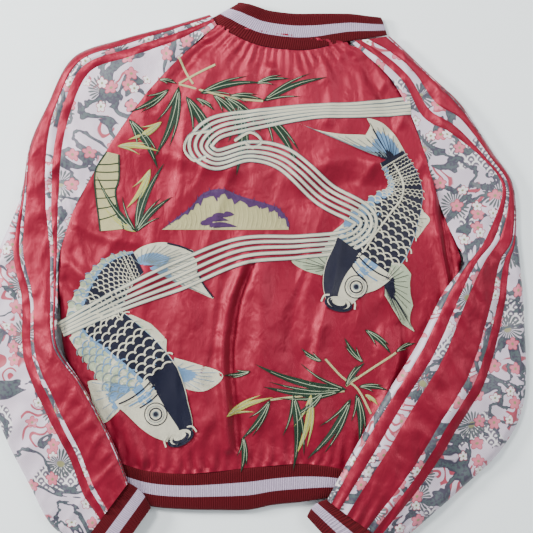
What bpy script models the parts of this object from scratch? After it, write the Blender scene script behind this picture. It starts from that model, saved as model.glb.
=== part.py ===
"""A satin souvenir jacket with an embroidered back, lined and zipped, laid flat with its back up.

Every plan outline is drawn in millimetres on the table: +Y runs from the hem to the collar, +X
towards the wearer's right, and +Z up through the jacket's layers. Left and right are the wearer's.
"""

import bmesh
import bpy
from mathutils import Vector

MM = 0.001

# Overall sizes, in millimetres, and the sizes at which the outlines below are drawn.
JACKET_WIDTH = 758.0
JACKET_LENGTH = 797.0
DRAWN_WIDTH = 758.0
DRAWN_LENGTH = 797.0

# Cloth, from the table up.
CLOTH = 2.0
LINING = 1.2
RIB = 2.4
EMBROIDERY = 0.8
LOFT = 9.0
GAP = 0.3
SEAM = 0.4
SIDE_WALL = 2.6
LINING_EDGE = 5.0
SHARPEST_MITRE = 0.4

# Rib bands, measured across their ribs.
COLLAR_DEPTH = 50.0
HEM_DEPTH = 49.0
FRONT_HEM_DROP = 8.0
CUFF_LENGTH = 49.0
CUFF_STATIONS = 7
CUFF_END_SHARE = 0.35
CUFF_LIFT = 0.4
CUFF_START = RIB / 6
HEM_TAPER = 4.0
HEM_TURN = 1.0
FRONT_CORNER = 6.0

# How the lower sleeves climb over the body and fall back to the table.
CLIMB_MARGIN = 6.0
BEND_WIDTH = 34.0
FALL_WIDTH = 62.0
OVER_CLEARANCE = 2.0
LEFT_FOLD_Y = -22.0
RIGHT_FOLD_Y = 28.0
LEFT_FOLD_X = -328.0
RIGHT_FOLD_X = 330.0
LEFT_FOLD_RISE = 10.0
RIGHT_FOLD_RISE = 4.0
FOLD_GAP = 0.3
LEFT_CLIMB = (20.0, -84.0)
RIGHT_CLIMB = (56.0, 30.0)

# Zip: half widths from its centre line, and the slider with its pull.
FRONT_EDGE = 7.0
CHAIN_GAP = 1.0
CHAIN_WIDTH = 1.6
CHAIN_HEIGHT = 1.5
TAPE_WIDTH = 10.0
TAPE = 0.8
SLIDER_WIDTH = 9.0
SLIDER_LENGTH = 11.0
SLIDER_PLATE = 0.6
SLIDER_POST = 1.2
PULL_WIDTH = 6.0
PULL_LENGTH = 32.0
PULL = 0.8
PULL_CLEARANCE = 0.3
SLIDER_BELOW_STOP = 2 * GAP
TABLE_CLEARANCE = 0.2
TOP_STOP = 4.0
RETAINER_LENGTH = 9.0

# Pockets.
WELT_LENGTH = 150.0
WELT_WIDTH = 22.0
BAG_WIDTH = 130.0
BAG_LENGTH = 190.0
POCKET_OUT = 185.0
POCKET_Y = -120.0
POCKET_LEAN = 0.3
BAG_ABOVE_HEM = 40.0
BAG_SET_BACK = BAG_WIDTH / 3

# Neck trim.
LABEL_CENTRE = (58, 285)
LOOP_CENTRE = (58, 313)
LABEL_WIDTH = 58.0
LABEL_HEIGHT = 34.0
LABEL = 0.4
LOOP_WIDTH = 6.0
LOOP_LENGTH = 64.0

# Finishes: colour, roughness and metallic value.
SATIN = ((0.50, 0.03, 0.07), 0.35, 0.0)
REVERSE = ((0.03, 0.04, 0.09), 0.4, 0.0)
JACQUARD = ((0.66, 0.56, 0.62), 0.5, 0.0)
KNIT = ((0.42, 0.02, 0.07), 0.9, 0.0)
THREAD = ((0.74, 0.72, 0.60), 0.5, 0.0)
NAVY_THREAD = ((0.05, 0.06, 0.13), 0.5, 0.0)
GREEN_THREAD = ((0.06, 0.10, 0.06), 0.5, 0.0)
TAPE_CLOTH = ((0.03, 0.03, 0.05), 0.8, 0.0)
METAL = ((0.62, 0.60, 0.55), 0.35, 1.0)
PAPER = ((0.80, 0.79, 0.76), 0.7, 0.0)

# Layer heights that follow from the sizes above.
SLIDER_LOW = TABLE_CLEARANCE + PULL + PULL_CLEARANCE
CHAIN_LOW = SLIDER_LOW + SLIDER_PLATE + GAP
TAPE_LOW = RIB + GAP
FRONT_LINING_LOW = TAPE_LOW + TAPE + GAP
FRONT_LINING_TOP = FRONT_LINING_LOW + LINING
BACK_LINING_LOW = FRONT_LINING_TOP + LOFT
BACK_LOW = BACK_LINING_LOW + LINING + GAP
BACK_TOP = BACK_LOW + CLOTH
STITCH_LOW = BACK_TOP + GAP
STREAM_LOW = STITCH_LOW + EMBROIDERY + GAP
CLIMB = STREAM_LOW + EMBROIDERY + OVER_CLEARANCE
SEAM_HEIGHT = (CLOTH + BACK_LOW) / 2

# Plan outlines. Each panel's shared edge is written once and used by both of its neighbours.
RAGLAN_LEFT = [(-55, 363), (-98, 326), (-148, 274), (-188, 220), (-221, 167),
               (-251, 113), (-266, 74), (-276, 36), (-277, -22)]
RAGLAN_RIGHT = [(132, 340), (172, 305), (196, 277), (220, 230), (237, 181),
                (252, 129), (267, 87), (280, 57), (289, 28)]
FRONT_RAGLAN_LEFT = [(-43, 322), (-90, 274), (-134, 227), (-174, 185), (-207, 143),
                     (-238, 99), (-260, 64), (-274, 31), (-277, -22)]
FRONT_RAGLAN_RIGHT = [(125, 316), (154, 274), (179, 235), (204, 193), (227, 151),
                      (246, 111), (263, 76), (284, 50), (289, 28)]
SIDE_LEFT = [(-277, -22), (-272, -84), (-258, -155), (-235, -211), (-196, -249)]
SIDE_RIGHT = [(289, 28), (290, -8), (280, -78), (262, -162), (227, -218), (178, -255)]
HEM_SEAM = [(-196, -249), (-154, -262), (-105, -266), (-57, -263), (-21, -259),
            (20, -255), (62, -252), (97, -255), (130, -260), (178, -255)]
NECK_BACK = [(132, 340), (108, 335), (76, 328), (43, 328), (0, 335), (-32, 349), (-55, 363)]
ZIP_TOP = (56, 280)
ZIP_BOTTOM = (-8, -306)
FRONT_NECK_LEFT = [(-43, 322), (-22, 300), (14, 284)]
FRONT_NECK_RIGHT = [(100, 290), (125, 316)]
# Left sleeve above the fold: the edges of its cloth strips, from the raglan seam outwards.
LEFT_STRIPS = [
    RAGLAN_LEFT[:7] + [(-277, 36), (-277.5, -22)],
    [(-58, 368), (-111, 342), (-176, 319), (-232, 298), (-259, 244),
     (-272, 188), (-277, 118), (-279.5, 48), (-280.5, -22)],
    [(-60, 372), (-115, 351), (-182, 329), (-242, 305), (-270, 249),
     (-283, 190), (-287, 118), (-284, 48), (-284, -22)],
    [(-62, 375), (-117, 357), (-186, 335), (-248, 311), (-279, 253),
     (-293, 192), (-295, 118), (-289, 48), (-288, -22)],
    [(-66, 379), (-120, 363), (-191, 344), (-258, 318), (-295, 249),
     (-319, 193), (-333, 118), (-364, 43), (-378, -22)],
]
# Right sleeve above the fold, in the same order.
RIGHT_STRIPS = [
    RAGLAN_RIGHT,
    [(138, 341), (178, 311), (209, 280), (235, 234), (274, 211),
     (319, 174), (345, 132), (322, 64), (294, 28)],
    [(147, 342), (185, 318), (217, 287), (244, 244), (280, 221),
     (323, 176), (350, 134), (336, 67), (305, 28)],
    [(157, 343), (192, 323), (224, 294), (253, 253), (287, 231),
     (327, 179), (354, 136), (344, 69), (316, 28)],
    [(189, 348), (209, 329), (245, 294), (284, 258), (305, 228),
     (334, 184), (362, 139), (368, 64), (372, 28)],
]
# Lower sleeves: inner and outer edges from the fold to the cuff.
LEFT_INNER = [(-277.5, -22), (-274, -85), (-242, -139), (-209, -200), (-190, -242), (-178, -277)]
LEFT_OUTER = [(-378, -22), (-379, -120), (-358, -204), (-319, -283), (-288, -340), (-246, -368)]
RIGHT_INNER = [(289, 28), (260, -13), (225, -83), (183, -151), (144, -217), (99, -300)]
RIGHT_OUTER = [(372, 28), (378, -50), (378, -162), (347, -231), (286, -291), (195, -370)]
# Where the strips of the lower sleeves meet, as shares of the sleeve's width at three stations.
LEFT_LOWER_STRIPS = {
    "left_forearm_satin": (0.35, 0.34, 0.40),
    "left_forearm_inset": (0.39, 0.39, 0.46),
    "left_forearm_tape": (0.51, 0.48, 0.56),
    "left_forearm_outer_panel": (1.0, 1.0, 1.0),
}
RIGHT_LOWER_STRIPS = {
    "right_forearm_inner_panel": (0.07, 0.05, 0.06),
    "right_forearm_inner_tape": (0.20, 0.14, 0.18),
    "right_forearm_inner_inset": (0.31, 0.22, 0.28),
    "right_forearm_satin": (0.62, 0.46, 0.58),
    "right_forearm_outer_inset": (0.70, 0.52, 0.66),
    "right_forearm_outer_tape": (0.80, 0.60, 0.76),
    "right_forearm_outer_panel": (1.0, 1.0, 1.0),
}
# Embroidery outlines.
KOI_LEFT = [(-178, 39), (-160, 52), (-119, 57), (-87, 45), (-91, 11), (-59, -20), (-106, -1),
            (-125, -22), (-118, -64), (-123, -101), (-112, -108), (-48, -127), (-74, -148),
            (-95, -151), (-90, -176), (-91, -202), (-105, -224), (-127, -218), (-148, -197),
            (-179, -169), (-214, -195), (-238, -137), (-241, -95), (-255, -73), (-268, -53),
            (-258, -28), (-241, 6), (-211, 36)]
KOI_RIGHT = [(60, 225), (95, 214), (141, 206), (160, 209), (148, 231), (185, 216), (209, 185),
             (224, 160), (244, 91), (220, 63), (199, 31), (221, -1), (223, -66), (202, -50),
             (183, -17), (167, -22), (134, -39), (97, -42), (92, -15), (92, 31), (48, 34),
             (104, 83), (154, 112), (182, 129), (165, 171), (125, 185), (83, 188)]
STREAM_PATH = [(205, 245), (146, 242), (76, 241), (-1, 230), (-57, 218), (-78, 193), (-56, 174),
               (-8, 190), (41, 174), (97, 125), (152, 92), (132, 62), (62, 48), (-22, 45),
               (-106, 13), (-190, -22), (-262, -58)]
STREAM_WIDTH = 17.0
MOUND = [(-132, 76), (-91, 108), (-74, 127), (-48, 133), (-21, 123), (20, 111), (34, 104),
         (46, 87), (46, 76)]
STUMP = [(-218, 74), (-224, 120), (-225, 157), (-209, 185), (-192, 181), (-192, 147),
         (-197, 125), (-185, 77)]
UPPER_HUB = (-108, 280)
UPPER_LEAVES = [(-139, 200), (-66, 188), (-172, 244), (-22, 180), (3, 217), (43, 287), (7, 258),
                (42, 184), (-57, 307), (-136, 291), (-148, 232)]
LOWER_HUB = (125, -151)
LOWER_LEAVES = [(-28, -126), (-8, -144), (8, -176), (52, -246), (62, -227), (78, -232),
                (144, -217), (179, -150), (169, -168), (150, -113), (186, -95), (97, -109)]
HUB_RADIUS = 9.0
CLOSEST_VALLEY = 0.2

WIDE = JACKET_WIDTH / DRAWN_WIDTH
LONG = JACKET_LENGTH / DRAWN_LENGTH


def plan(points):
    """Outline points scaled to the jacket's own width and length."""
    return [(x * WIDE, y * LONG) for x, y in points]


def smooth(points, steps=2):
    """A curve through the points, with this many steps between neighbours."""
    ends = [Vector(p) for p in points]
    padded = [2 * ends[0] - ends[1]] + ends + [2 * ends[-1] - ends[-2]]
    curve = []
    for a, b, c, d in zip(padded, padded[1:], padded[2:], padded[3:]):
        for step in range(steps):
            t = step / steps
            bend = (2 * a - 5 * b + 4 * c - d) * t * t + (3 * b - a - 3 * c + d) * t ** 3
            curve.append(b + ((c - a) * t + bend) / 2)
    return [tuple(p) for p in curve + [ends[-1]]]


def shifted(points, distance):
    """The polyline moved to its left by a distance."""
    vectors = [Vector(p) for p in points]
    moved = []
    for i, p in enumerate(vectors):
        before = vectors[max(i - 1, 0)]
        after = vectors[min(i + 1, len(vectors) - 1)]
        along = (after - before).normalized()
        moved.append(tuple(p + distance * Vector((-along.y, along.x))))
    return moved


def grown(outline, distance):
    """A closed anticlockwise outline moved outwards by a distance, or inwards where it is negative."""
    count = len(outline)
    moved = []
    for i in range(count):
        before, here, after = (Vector(outline[(i + k) % count]) for k in (-1, 0, 1))
        first = (here - before).normalized()
        second = (after - here).normalized()
        out = Vector((first.y + second.y, -first.x - second.x)).normalized()
        spread = max(out.dot(Vector((first.y, -first.x))), SHARPEST_MITRE)
        moved.append(tuple(here + distance / spread * out))
    return moved


def look(name, finish):
    """A Principled material for one piece."""
    colour, roughness, metallic = finish
    material = bpy.data.materials.new(name)
    material.use_nodes = True
    shader = material.node_tree.nodes["Principled BSDF"]
    shader.inputs["Base Color"].default_value = (*colour, 1.0)
    shader.inputs["Roughness"].default_value = roughness
    shader.inputs["Metallic"].default_value = metallic
    return material


def place(name, bm, finish, pivot=None):
    """Turns a mesh drawn in millimetres into a named object, hung from its pivot if it has one."""
    bmesh.ops.recalc_face_normals(bm, faces=bm.faces)
    bmesh.ops.scale(bm, vec=(MM, MM, MM), verts=bm.verts)
    for face in bm.faces:
        face.material_index = 0
    mesh = bpy.data.meshes.new(name)
    bm.to_mesh(mesh)
    bm.free()
    mesh.materials.append(look(name, finish))
    obj = bpy.data.objects.new(name, mesh)
    bpy.context.scene.collection.objects.link(obj)
    if pivot is not None:
        obj.parent = pivot
        obj.matrix_parent_inverse = pivot.matrix_world.inverted()
    return obj


def axis_point(name, x, y, z):
    """An empty on a joint's axis."""
    empty = bpy.data.objects.new(name, None)
    empty.location = (x * MM, y * MM, z * MM)
    bpy.context.scene.collection.objects.link(empty)
    bpy.context.view_layer.update()
    return empty


def raise_wall(bm, level, target):
    """Carries the marked faces at one height on to another, as a wall."""
    marked = [
        f for f in bm.faces
        if f.material_index == 1 and all(abs(v.co.z - level) < 0.01 for v in f.verts)
    ]
    made = bmesh.ops.extrude_face_region(bm, geom=marked)["geom"]
    bmesh.ops.delete(bm, geom=[f for f in marked if f.is_valid], context="FACES")
    for vert in (v for v in made if isinstance(v, bmesh.types.BMVert)):
        vert.co.z = target


def slab(name, outline, low, high, finish, pivot=None, walls=(), wall_to=None):
    """A flat panel of an anticlockwise outline. walls gives the stretches of its edge that turn up
    or down to wall_to, each by its first point and its number of points."""
    bm = bmesh.new()
    verts = [bm.verts.new((x, y, low)) for x, y in outline]
    inner = grown(outline, -SIDE_WALL)
    main = list(verts)
    for first, count in walls:
        run = range(first, first + count)
        inside = {i: bm.verts.new((*inner[i], low)) for i in run}
        for i in list(run)[:-1]:
            rim = bm.faces.new((verts[i], verts[i + 1], inside[i + 1], inside[i]))
            rim.material_index = 1
        at = main.index(verts[first])
        main[at + 1:at + count - 1] = [inside[i] for i in run]
    bm.faces.new(main)
    made = bmesh.ops.extrude_face_region(bm, geom=list(bm.faces))["geom"]
    for vert in (v for v in made if isinstance(v, bmesh.types.BMVert)):
        vert.co.z = high
    if wall_to is not None:
        raise_wall(bm, high if wall_to > high else low, wall_to)
    return place(name, bm, finish, pivot)


def cell(bm, a, b, c, d):
    """Two triangles over a cell, split along its shorter diagonal in plan, so that layers which
    share their stations stay parallel."""
    if (a.co - c.co).xy.length < (b.co - d.co).xy.length:
        return bm.faces.new((a, b, c)), bm.faces.new((a, c, d))
    return bm.faces.new((a, b, d)), bm.faces.new((b, c, d))


def grid(rows, closed=False):
    """A sheet through rows of points; a closed one joins its last row to its first."""
    bm = bmesh.new()
    lines = [[bm.verts.new(p) for p in row] for row in rows]
    pairs = list(zip(lines, lines[1:]))
    if closed:
        pairs.append((lines[-1], lines[0]))
    for one, two in pairs:
        for i in range(len(one) - 1):
            cell(bm, one[i], one[i + 1], two[i + 1], two[i])
    return bm


def thicken(obj, thickness):
    """Gives a sheet its thickness, half to either side."""
    solidify = obj.modifiers.new("Thickness", "SOLIDIFY")
    solidify.thickness = thickness * MM
    solidify.offset = 0.0


def shell(name, rows, thickness, finish, pivot=None, closed=False):
    """A bent sheet of even thickness, centred on its rows of points."""
    thicken(place(name, grid(rows, closed), finish, pivot), thickness)


def layer(name, rows, low, thickness, finish, pivot=None, edge_walls=(), drop=0.0):
    """A draped strip whose top repeats its underside, so that stacked strips stay parallel.

    The rows hold (x, y, drape height). edge_walls names the columns of quads, counted from 0 or
    from -1, whose underside goes down by drop."""
    bm = bmesh.new()
    lines = [[bm.verts.new((x, y, low + z)) for x, y, z in row] for row in rows]
    last = len(lines[0]) - 2
    marks = {last if column < 0 else column for column in edge_walls}
    for one, two in zip(lines, lines[1:]):
        for i in range(last + 1):
            for face in cell(bm, one[i], one[i + 1], two[i + 1], two[i]):
                face.material_index = 1 if i in marks else 0
    under = [f for f in bm.faces if f.material_index == 1]
    made = bmesh.ops.extrude_face_region(bm, geom=list(bm.faces))["geom"]
    bmesh.ops.translate(
        bm, vec=(0, 0, thickness), verts=[v for v in made if isinstance(v, bmesh.types.BMVert)]
    )
    if drop:
        made = bmesh.ops.extrude_face_region(bm, geom=under)["geom"]
        bmesh.ops.delete(bm, geom=[f for f in under if f.is_valid], context="FACES")
        bmesh.ops.translate(
            bm, vec=(0, 0, -drop), verts=[v for v in made if isinstance(v, bmesh.types.BMVert)]
        )
    return place(name, bm, finish, pivot)


def inside(point, outline):
    """Is the point within the closed outline?"""
    x, y = point
    crossings = 0
    for (ax, ay), (bx, by) in zip(outline, outline[1:] + outline[:1]):
        if (ay > y) != (by > y) and x < ax + (y - ay) * (bx - ax) / (by - ay):
            crossings += 1
    return crossings % 2 == 1


def distance_outside(point, outline):
    """How far a point lies outside a closed outline, or 0 within it."""
    if inside(point, outline):
        return 0.0
    p = Vector(point)
    best = float("inf")
    for a, b in zip(outline, outline[1:] + outline[:1]):
        a, b = Vector(a), Vector(b)
        along = b - a
        share = min(max((p - a).dot(along) / along.length_squared, 0.0), 1.0)
        best = min(best, (p - a - share * along).length)
    return best


def ease(t):
    """A smooth step from 0 to 1."""
    t = min(max(t, 0.0), 1.0)
    return t * t * (3 - 2 * t)


def body_outline():
    """The back panel's outline, anticlockwise from the neck's left end, and its side stretches."""
    runs = [
        smooth(plan(RAGLAN_LEFT))[:-1],
        smooth(plan(SIDE_LEFT))[:-1],
        plan(HEM_SEAM)[:-1],
        smooth(plan(SIDE_RIGHT)[::-1])[:-1],
        smooth(plan(RAGLAN_RIGHT)[::-1])[:-1],
        plan(NECK_BACK)[:-1],
    ]
    starts = [0]
    for run in runs:
        starts.append(starts[-1] + len(run))
    outline = [p for run in runs for p in run]
    return outline, [(starts[1], len(runs[1]) + 1), (starts[3], len(runs[3]) + 1)]


def covered_ground():
    """The plan of everything that the lower sleeves climb over: the body with its hem rib."""
    outline, _ = body_outline()
    hem = plan(HEM_SEAM)
    dropped = [(x, y - HEM_DEPTH - FRONT_HEM_DROP) for x, y in hem]
    at = outline.index(hem[0])
    return outline[:at] + dropped + outline[at + len(hem) - 1:]


GROUND = covered_ground()


def drape(x, y, climb):
    """How far a sleeve's layers are lifted at a point of the plan."""
    start, full = (LONG * level for level in climb)
    rise = ease((start - y) / (start - full))
    off = distance_outside((x, y), GROUND)
    return CLIMB * rise * (1 - ease((off - CLIMB_MARGIN) / FALL_WIDTH))


def between(a, b, share):
    return tuple(p + share * (q - p) for p, q in zip(a, b))


def stretch_at(row, length):
    """The point of a row at a distance along its plan, counted from its end where negative."""
    steps = [(Vector(b[:2]) - Vector(a[:2])).length for a, b in zip(row, row[1:])]
    left = length if length >= 0 else sum(steps) + length
    for a, b, step in zip(row, row[1:], steps):
        if left <= step:
            return between(a, b, left / step)
        left -= step
    return row[-1]


def net(columns, climb):
    """Rows across a sleeve, one for each station, and where each strip's edge lies in them.

    Wide strips are split evenly, so that every layer bends at the same places."""
    split, edges = [columns[0]], [0]
    for one, two in zip(columns, columns[1:]):
        widest = max((Vector(b) - Vector(a)).length for a, b in zip(one, two))
        parts = max(1, round(widest / BEND_WIDTH))
        for k in range(1, parts + 1):
            split.append([between(a, b, k / parts) for a, b in zip(one, two)])
        edges.append(len(split) - 1)
    return [[(x, y, drape(x, y, climb)) for x, y in row] for row in zip(*split)], edges


def narrowed(rows, first, last):
    """The part of each row between two columns, drawn in by half a seam at either side."""
    part = []
    for row in rows:
        cut = row[first:last + 1]
        width = sum((Vector(b[:2]) - Vector(a[:2])).length for a, b in zip(cut, cut[1:]))
        ease_in = min(SEAM / 2, width / 5)
        part.append([stretch_at(cut, ease_in)] + cut[1:-1] + [stretch_at(cut, -ease_in)])
    return part


def with_wall(rows, inner=False, outer=False):
    """The rows with one more column close to the walled edges."""
    walled = []
    for row in rows:
        row = list(row)
        reach = (Vector(row[1][:2]) - Vector(row[0][:2])).length
        if inner:
            row.insert(1, stretch_at(row, min(SIDE_WALL, reach * 0.8)))
        reach = (Vector(row[-1][:2]) - Vector(row[-2][:2])).length
        if outer:
            row.insert(-1, stretch_at(row, -min(SIDE_WALL, reach * 0.8)))
        walled.append(row)
    return walled


def lining_row(row, low, inner_margin):
    """One row of a lining at a mid height, kept in from the sleeve's walled edges."""
    steps = [0.0]
    for a, b in zip(row, row[1:]):
        steps.append(steps[-1] + (Vector(b[:2]) - Vector(a[:2])).length)
    count = len(row)
    points = []
    for i, step in enumerate(steps):
        length = max(step, inner_margin + i * SEAM)
        length = min(length, steps[-1] - LINING_EDGE - (count - 1 - i) * SEAM)
        x, y, z = stretch_at(row, max(length, i * SEAM / 4))
        points.append((x, y, low + LINING / 2 + z))
    return points


def end_gap(rows, at_start, distance):
    """The rows with the first or the last drawn back along the sleeve from the fold line."""
    rows = [list(row) for row in rows]
    end, neighbour = (0, 1) if at_start else (-1, -2)
    moved = []
    for p, q in zip(rows[end], rows[neighbour]):
        fall = abs(q[1] - p[1])
        moved.append(between(p, q, distance / max(fall, distance * 2)))
    rows[end] = moved
    return rows


def upper_sleeve(side, strips, front_raglan, climb):
    """The sleeve above its fold: the strips on top, the front panel below and the lining tube."""
    names = ("upper_back_panel", "upper_tape", "upper_inset", "upper_satin")
    finishes = (JACQUARD, SATIN, JACQUARD, SATIN)
    edges = [smooth(plan(points)) for points in strips]
    rows, marks = net(edges, climb)
    rows = end_gap(rows, False, FOLD_GAP)
    drop = BACK_LOW - CLOTH - GAP
    for i, (name, finish) in enumerate(zip(names, finishes)):
        part = narrowed(rows, marks[i], marks[i + 1])
        last = i == len(names) - 1
        if last:
            part = with_wall(part, outer=True)
        layer(f"{side}_{name}", part, BACK_LOW, CLOTH, finish,
              edge_walls=(-1,) if last else (), drop=drop if last else 0.0)
    under_edges = [smooth(plan(front_raglan))] + edges[1:]
    under, marks = net(under_edges, climb)
    under = end_gap(under, False, FOLD_GAP)
    layer(f"{side}_upper_front_panel", narrowed(under, 0, marks[-1]), 0.0, CLOTH, JACQUARD)
    tube = []
    for low_row, high_row in zip(under[1:], rows[1:]):
        low = lining_row(low_row, FRONT_LINING_LOW, 2 * SEAM)
        high = lining_row(high_row, BACK_LINING_LOW, 2 * SEAM)
        tube.append(low + high[::-1])
    shell(f"{side}_upper_lining", tube, LINING, REVERSE)


def lower_sleeve(side, inner, outer, strips, climb, pivot):
    """The sleeve below its fold: strips, the panel below, and the lining as a closed tube."""
    inner, outer = smooth(plan(inner)), smooth(plan(outer))
    stations = len(inner)
    columns = [inner]
    for shares in strips.values():
        column = []
        for i, (a, b) in enumerate(zip(inner, outer)):
            t = 2 * i / (stations - 1)
            start, end = (shares[0], shares[1]) if t < 1 else (shares[1], shares[2])
            column.append(between(a, b, start + (end - start) * (t % 1 if t < 2 else 1)))
        columns.append(column)
    rows, marks = net(columns, climb)
    rows = end_gap(rows, True, FOLD_GAP)
    drop = BACK_LOW - CLOTH - GAP
    last = len(strips) - 1
    for i, name in enumerate(strips):
        part = narrowed(rows, marks[i], marks[i + 1])
        walls = [w for w, here in ((0, i == 0), (-1, i == last)) if here]
        part = with_wall(part, inner=i == 0, outer=i == last)
        finish = JACQUARD if name.endswith(("panel", "inset")) else SATIN
        layer(name, part, BACK_LOW, CLOTH, finish, pivot, edge_walls=walls,
              drop=drop if walls else 0.0)
    layer(f"{side}_forearm_under_panel", narrowed(rows, 0, marks[-1]), 0.0, CLOTH, JACQUARD, pivot)
    tube = []
    for row in end_gap(rows, False, 3 * SEAM):
        low = lining_row(row, FRONT_LINING_LOW, LINING_EDGE)
        high = lining_row(row, BACK_LINING_LOW, LINING_EDGE)
        tube.append(low + high[::-1] + low[:1])
    bm = grid(tube)
    bmesh.ops.remove_doubles(bm, verts=bm.verts, dist=0.001)
    thicken(place(f"{side}_forearm_lining", bm, REVERSE, pivot), LINING)
    cuff(side, inner[-1], outer[-1], climb, pivot)


def cuff(side, start, end, climb, pivot):
    """A ring of rib knit that carries the sleeve on past its end."""
    steps = CUFF_STATIONS
    a, b = Vector(start), Vector(end)
    along = (b - a).normalized()
    across = Vector((along.y, -along.x))
    across = across if across.y < 0 else -across
    middle, bulge = RIB / 2 + CUFF_LIFT, RIB / 2
    top = BACK_TOP - RIB / 2
    rows = []
    for level, order in ((middle, range(steps)), (top, range(steps - 1, -1, -1))):
        for i in order:
            share = (i + CUFF_END_SHARE) / (steps - 1 + 2 * CUFF_END_SHARE)
            rows.append([(*(a + share * (b - a) + d * across), level)
                         for d in (CUFF_START, CUFF_LENGTH / 2, CUFF_LENGTH)])
        turn = b - bulge * along if order == range(steps) else a + bulge * along
        rows.append([(*(turn + d * across), (middle + top) / 2)
                     for d in (CUFF_START, CUFF_LENGTH / 2, CUFF_LENGTH)])
    lifted = [[(x, y, z + drape(x, y, climb)) for x, y, z in row] for row in rows]
    shell(f"{side}_cuff_rib", lifted, RIB, KNIT, pivot, closed=True)


def zip_point(across, down):
    """A plan point by its distance across the zip's line and down it from the top."""
    (top_x, top_y), (bottom_x, bottom_y) = plan([ZIP_TOP, ZIP_BOTTOM])
    line = Vector((bottom_x - top_x, bottom_y - top_y)).normalized()
    side = Vector((-line.y, line.x))
    return tuple(Vector((top_x, top_y)) + down * line + across * side)


def zip_length():
    top, bottom = plan([ZIP_TOP, ZIP_BOTTOM])
    return (Vector(bottom) - Vector(top)).length


def zip_bar(name, near, far, start, end, low, high, finish, pivot=None):
    """A straight bar along the zip, between two distances across it; the wearer's right is +."""
    corners = [zip_point(near, start), zip_point(near, end), zip_point(far, end),
               zip_point(far, start)]
    if near > far:
        corners.reverse()
    return slab(name, corners, low, high, finish, pivot)


def body():
    """Back, fronts, linings and side seams."""
    outline, sides = body_outline()
    slab("back_panel", outline, BACK_LOW, BACK_TOP, SATIN, walls=sides,
         wall_to=SEAM_HEIGHT + GAP / 2)
    slab("back_lining", grown(outline, -LINING_EDGE), BACK_LINING_LOW,
         BACK_LINING_LOW + LINING, REVERSE)
    hem = plan(HEM_SEAM)
    left_end = zip_point(-FRONT_EDGE, zip_length())[0]
    right_end = zip_point(FRONT_EDGE, zip_length())[0]
    hem_left = [p for p in hem if p[0] < left_end - FRONT_CORNER]
    hem_right = [p for p in hem if p[0] > right_end + FRONT_CORNER]
    end = zip_length() - HEM_DEPTH
    left_runs = (
        smooth(plan(FRONT_RAGLAN_LEFT))[:-1], smooth(plan(SIDE_LEFT))[:-1], hem_left,
        [zip_point(-FRONT_EDGE, end), zip_point(-FRONT_EDGE, 0)],
        plan(FRONT_NECK_LEFT)[:0:-1],
    )
    right_runs = (
        [zip_point(FRONT_EDGE, 0), zip_point(FRONT_EDGE, end)],
        hem_right[:-1], smooth(plan(SIDE_RIGHT)[::-1])[:-1],
        smooth(plan(FRONT_RAGLAN_RIGHT)[::-1])[:-1], plan(FRONT_NECK_RIGHT)[::-1],
    )
    front("left", left_runs, 1)
    front("right", right_runs, 2)


def front(side, runs, side_run):
    """One front with its lining, its side wall and its pocket."""
    outline = [p for run in runs for p in run]
    start = sum(len(run) for run in runs[:side_run])
    panel = slab(f"front_panel_{side}", outline, 0.0, CLOTH, SATIN,
                 walls=[(start, len(runs[side_run]) + 1)], wall_to=SEAM_HEIGHT - GAP / 2)
    slab(f"front_lining_{side}", grown(outline, -LINING_EDGE), FRONT_LINING_LOW,
         FRONT_LINING_TOP, REVERSE)
    pocket(side, panel)


def tilted(centre, length, width, lean):
    """A rectangle's corners, its long side leaning from +Y towards +X by lean."""
    along = Vector((lean, 1.0)).normalized()
    across = Vector((along.y, -along.x))
    middle = Vector(centre)
    return [
        tuple(middle + i * length / 2 * along + j * width / 2 * across)
        for i, j in ((-1, -1), (-1, 1), (1, 1), (1, -1))
    ]


def pocket(side, panel):
    """A welt set in a slot of the front, with the bag lying behind it."""
    sign = -1 if side == "left" else 1
    (x, y), = plan([(sign * POCKET_OUT, POCKET_Y)])
    lean = -POCKET_LEAN * sign
    cutter = slab(f"{side}_pocket_cutter", tilted((x, y), WELT_LENGTH, WELT_WIDTH, lean),
                  -CLOTH, 2 * CLOTH, SATIN)
    cutter.hide_render = True
    cutter.display_type = "WIRE"
    cut = panel.modifiers.new("Pocket slot", "BOOLEAN")
    cut.object = cutter
    cut.operation = "DIFFERENCE"
    shrink = 2 * SEAM
    slab(f"pocket_welt_{side}",
         tilted((x, y), WELT_LENGTH - shrink, WELT_WIDTH - shrink, lean), 0.0, CLOTH, SATIN)
    bag_x = x - sign * BAG_SET_BACK
    bag_y = plan(HEM_SEAM)[-1][1] + BAG_ABOVE_HEM + BAG_LENGTH / 2
    slab(f"pocket_bag_{side}", tilted((bag_x, bag_y), BAG_LENGTH, BAG_WIDTH, lean / 2),
         TAPE_LOW, TAPE_LOW + TAPE, REVERSE)


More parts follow.
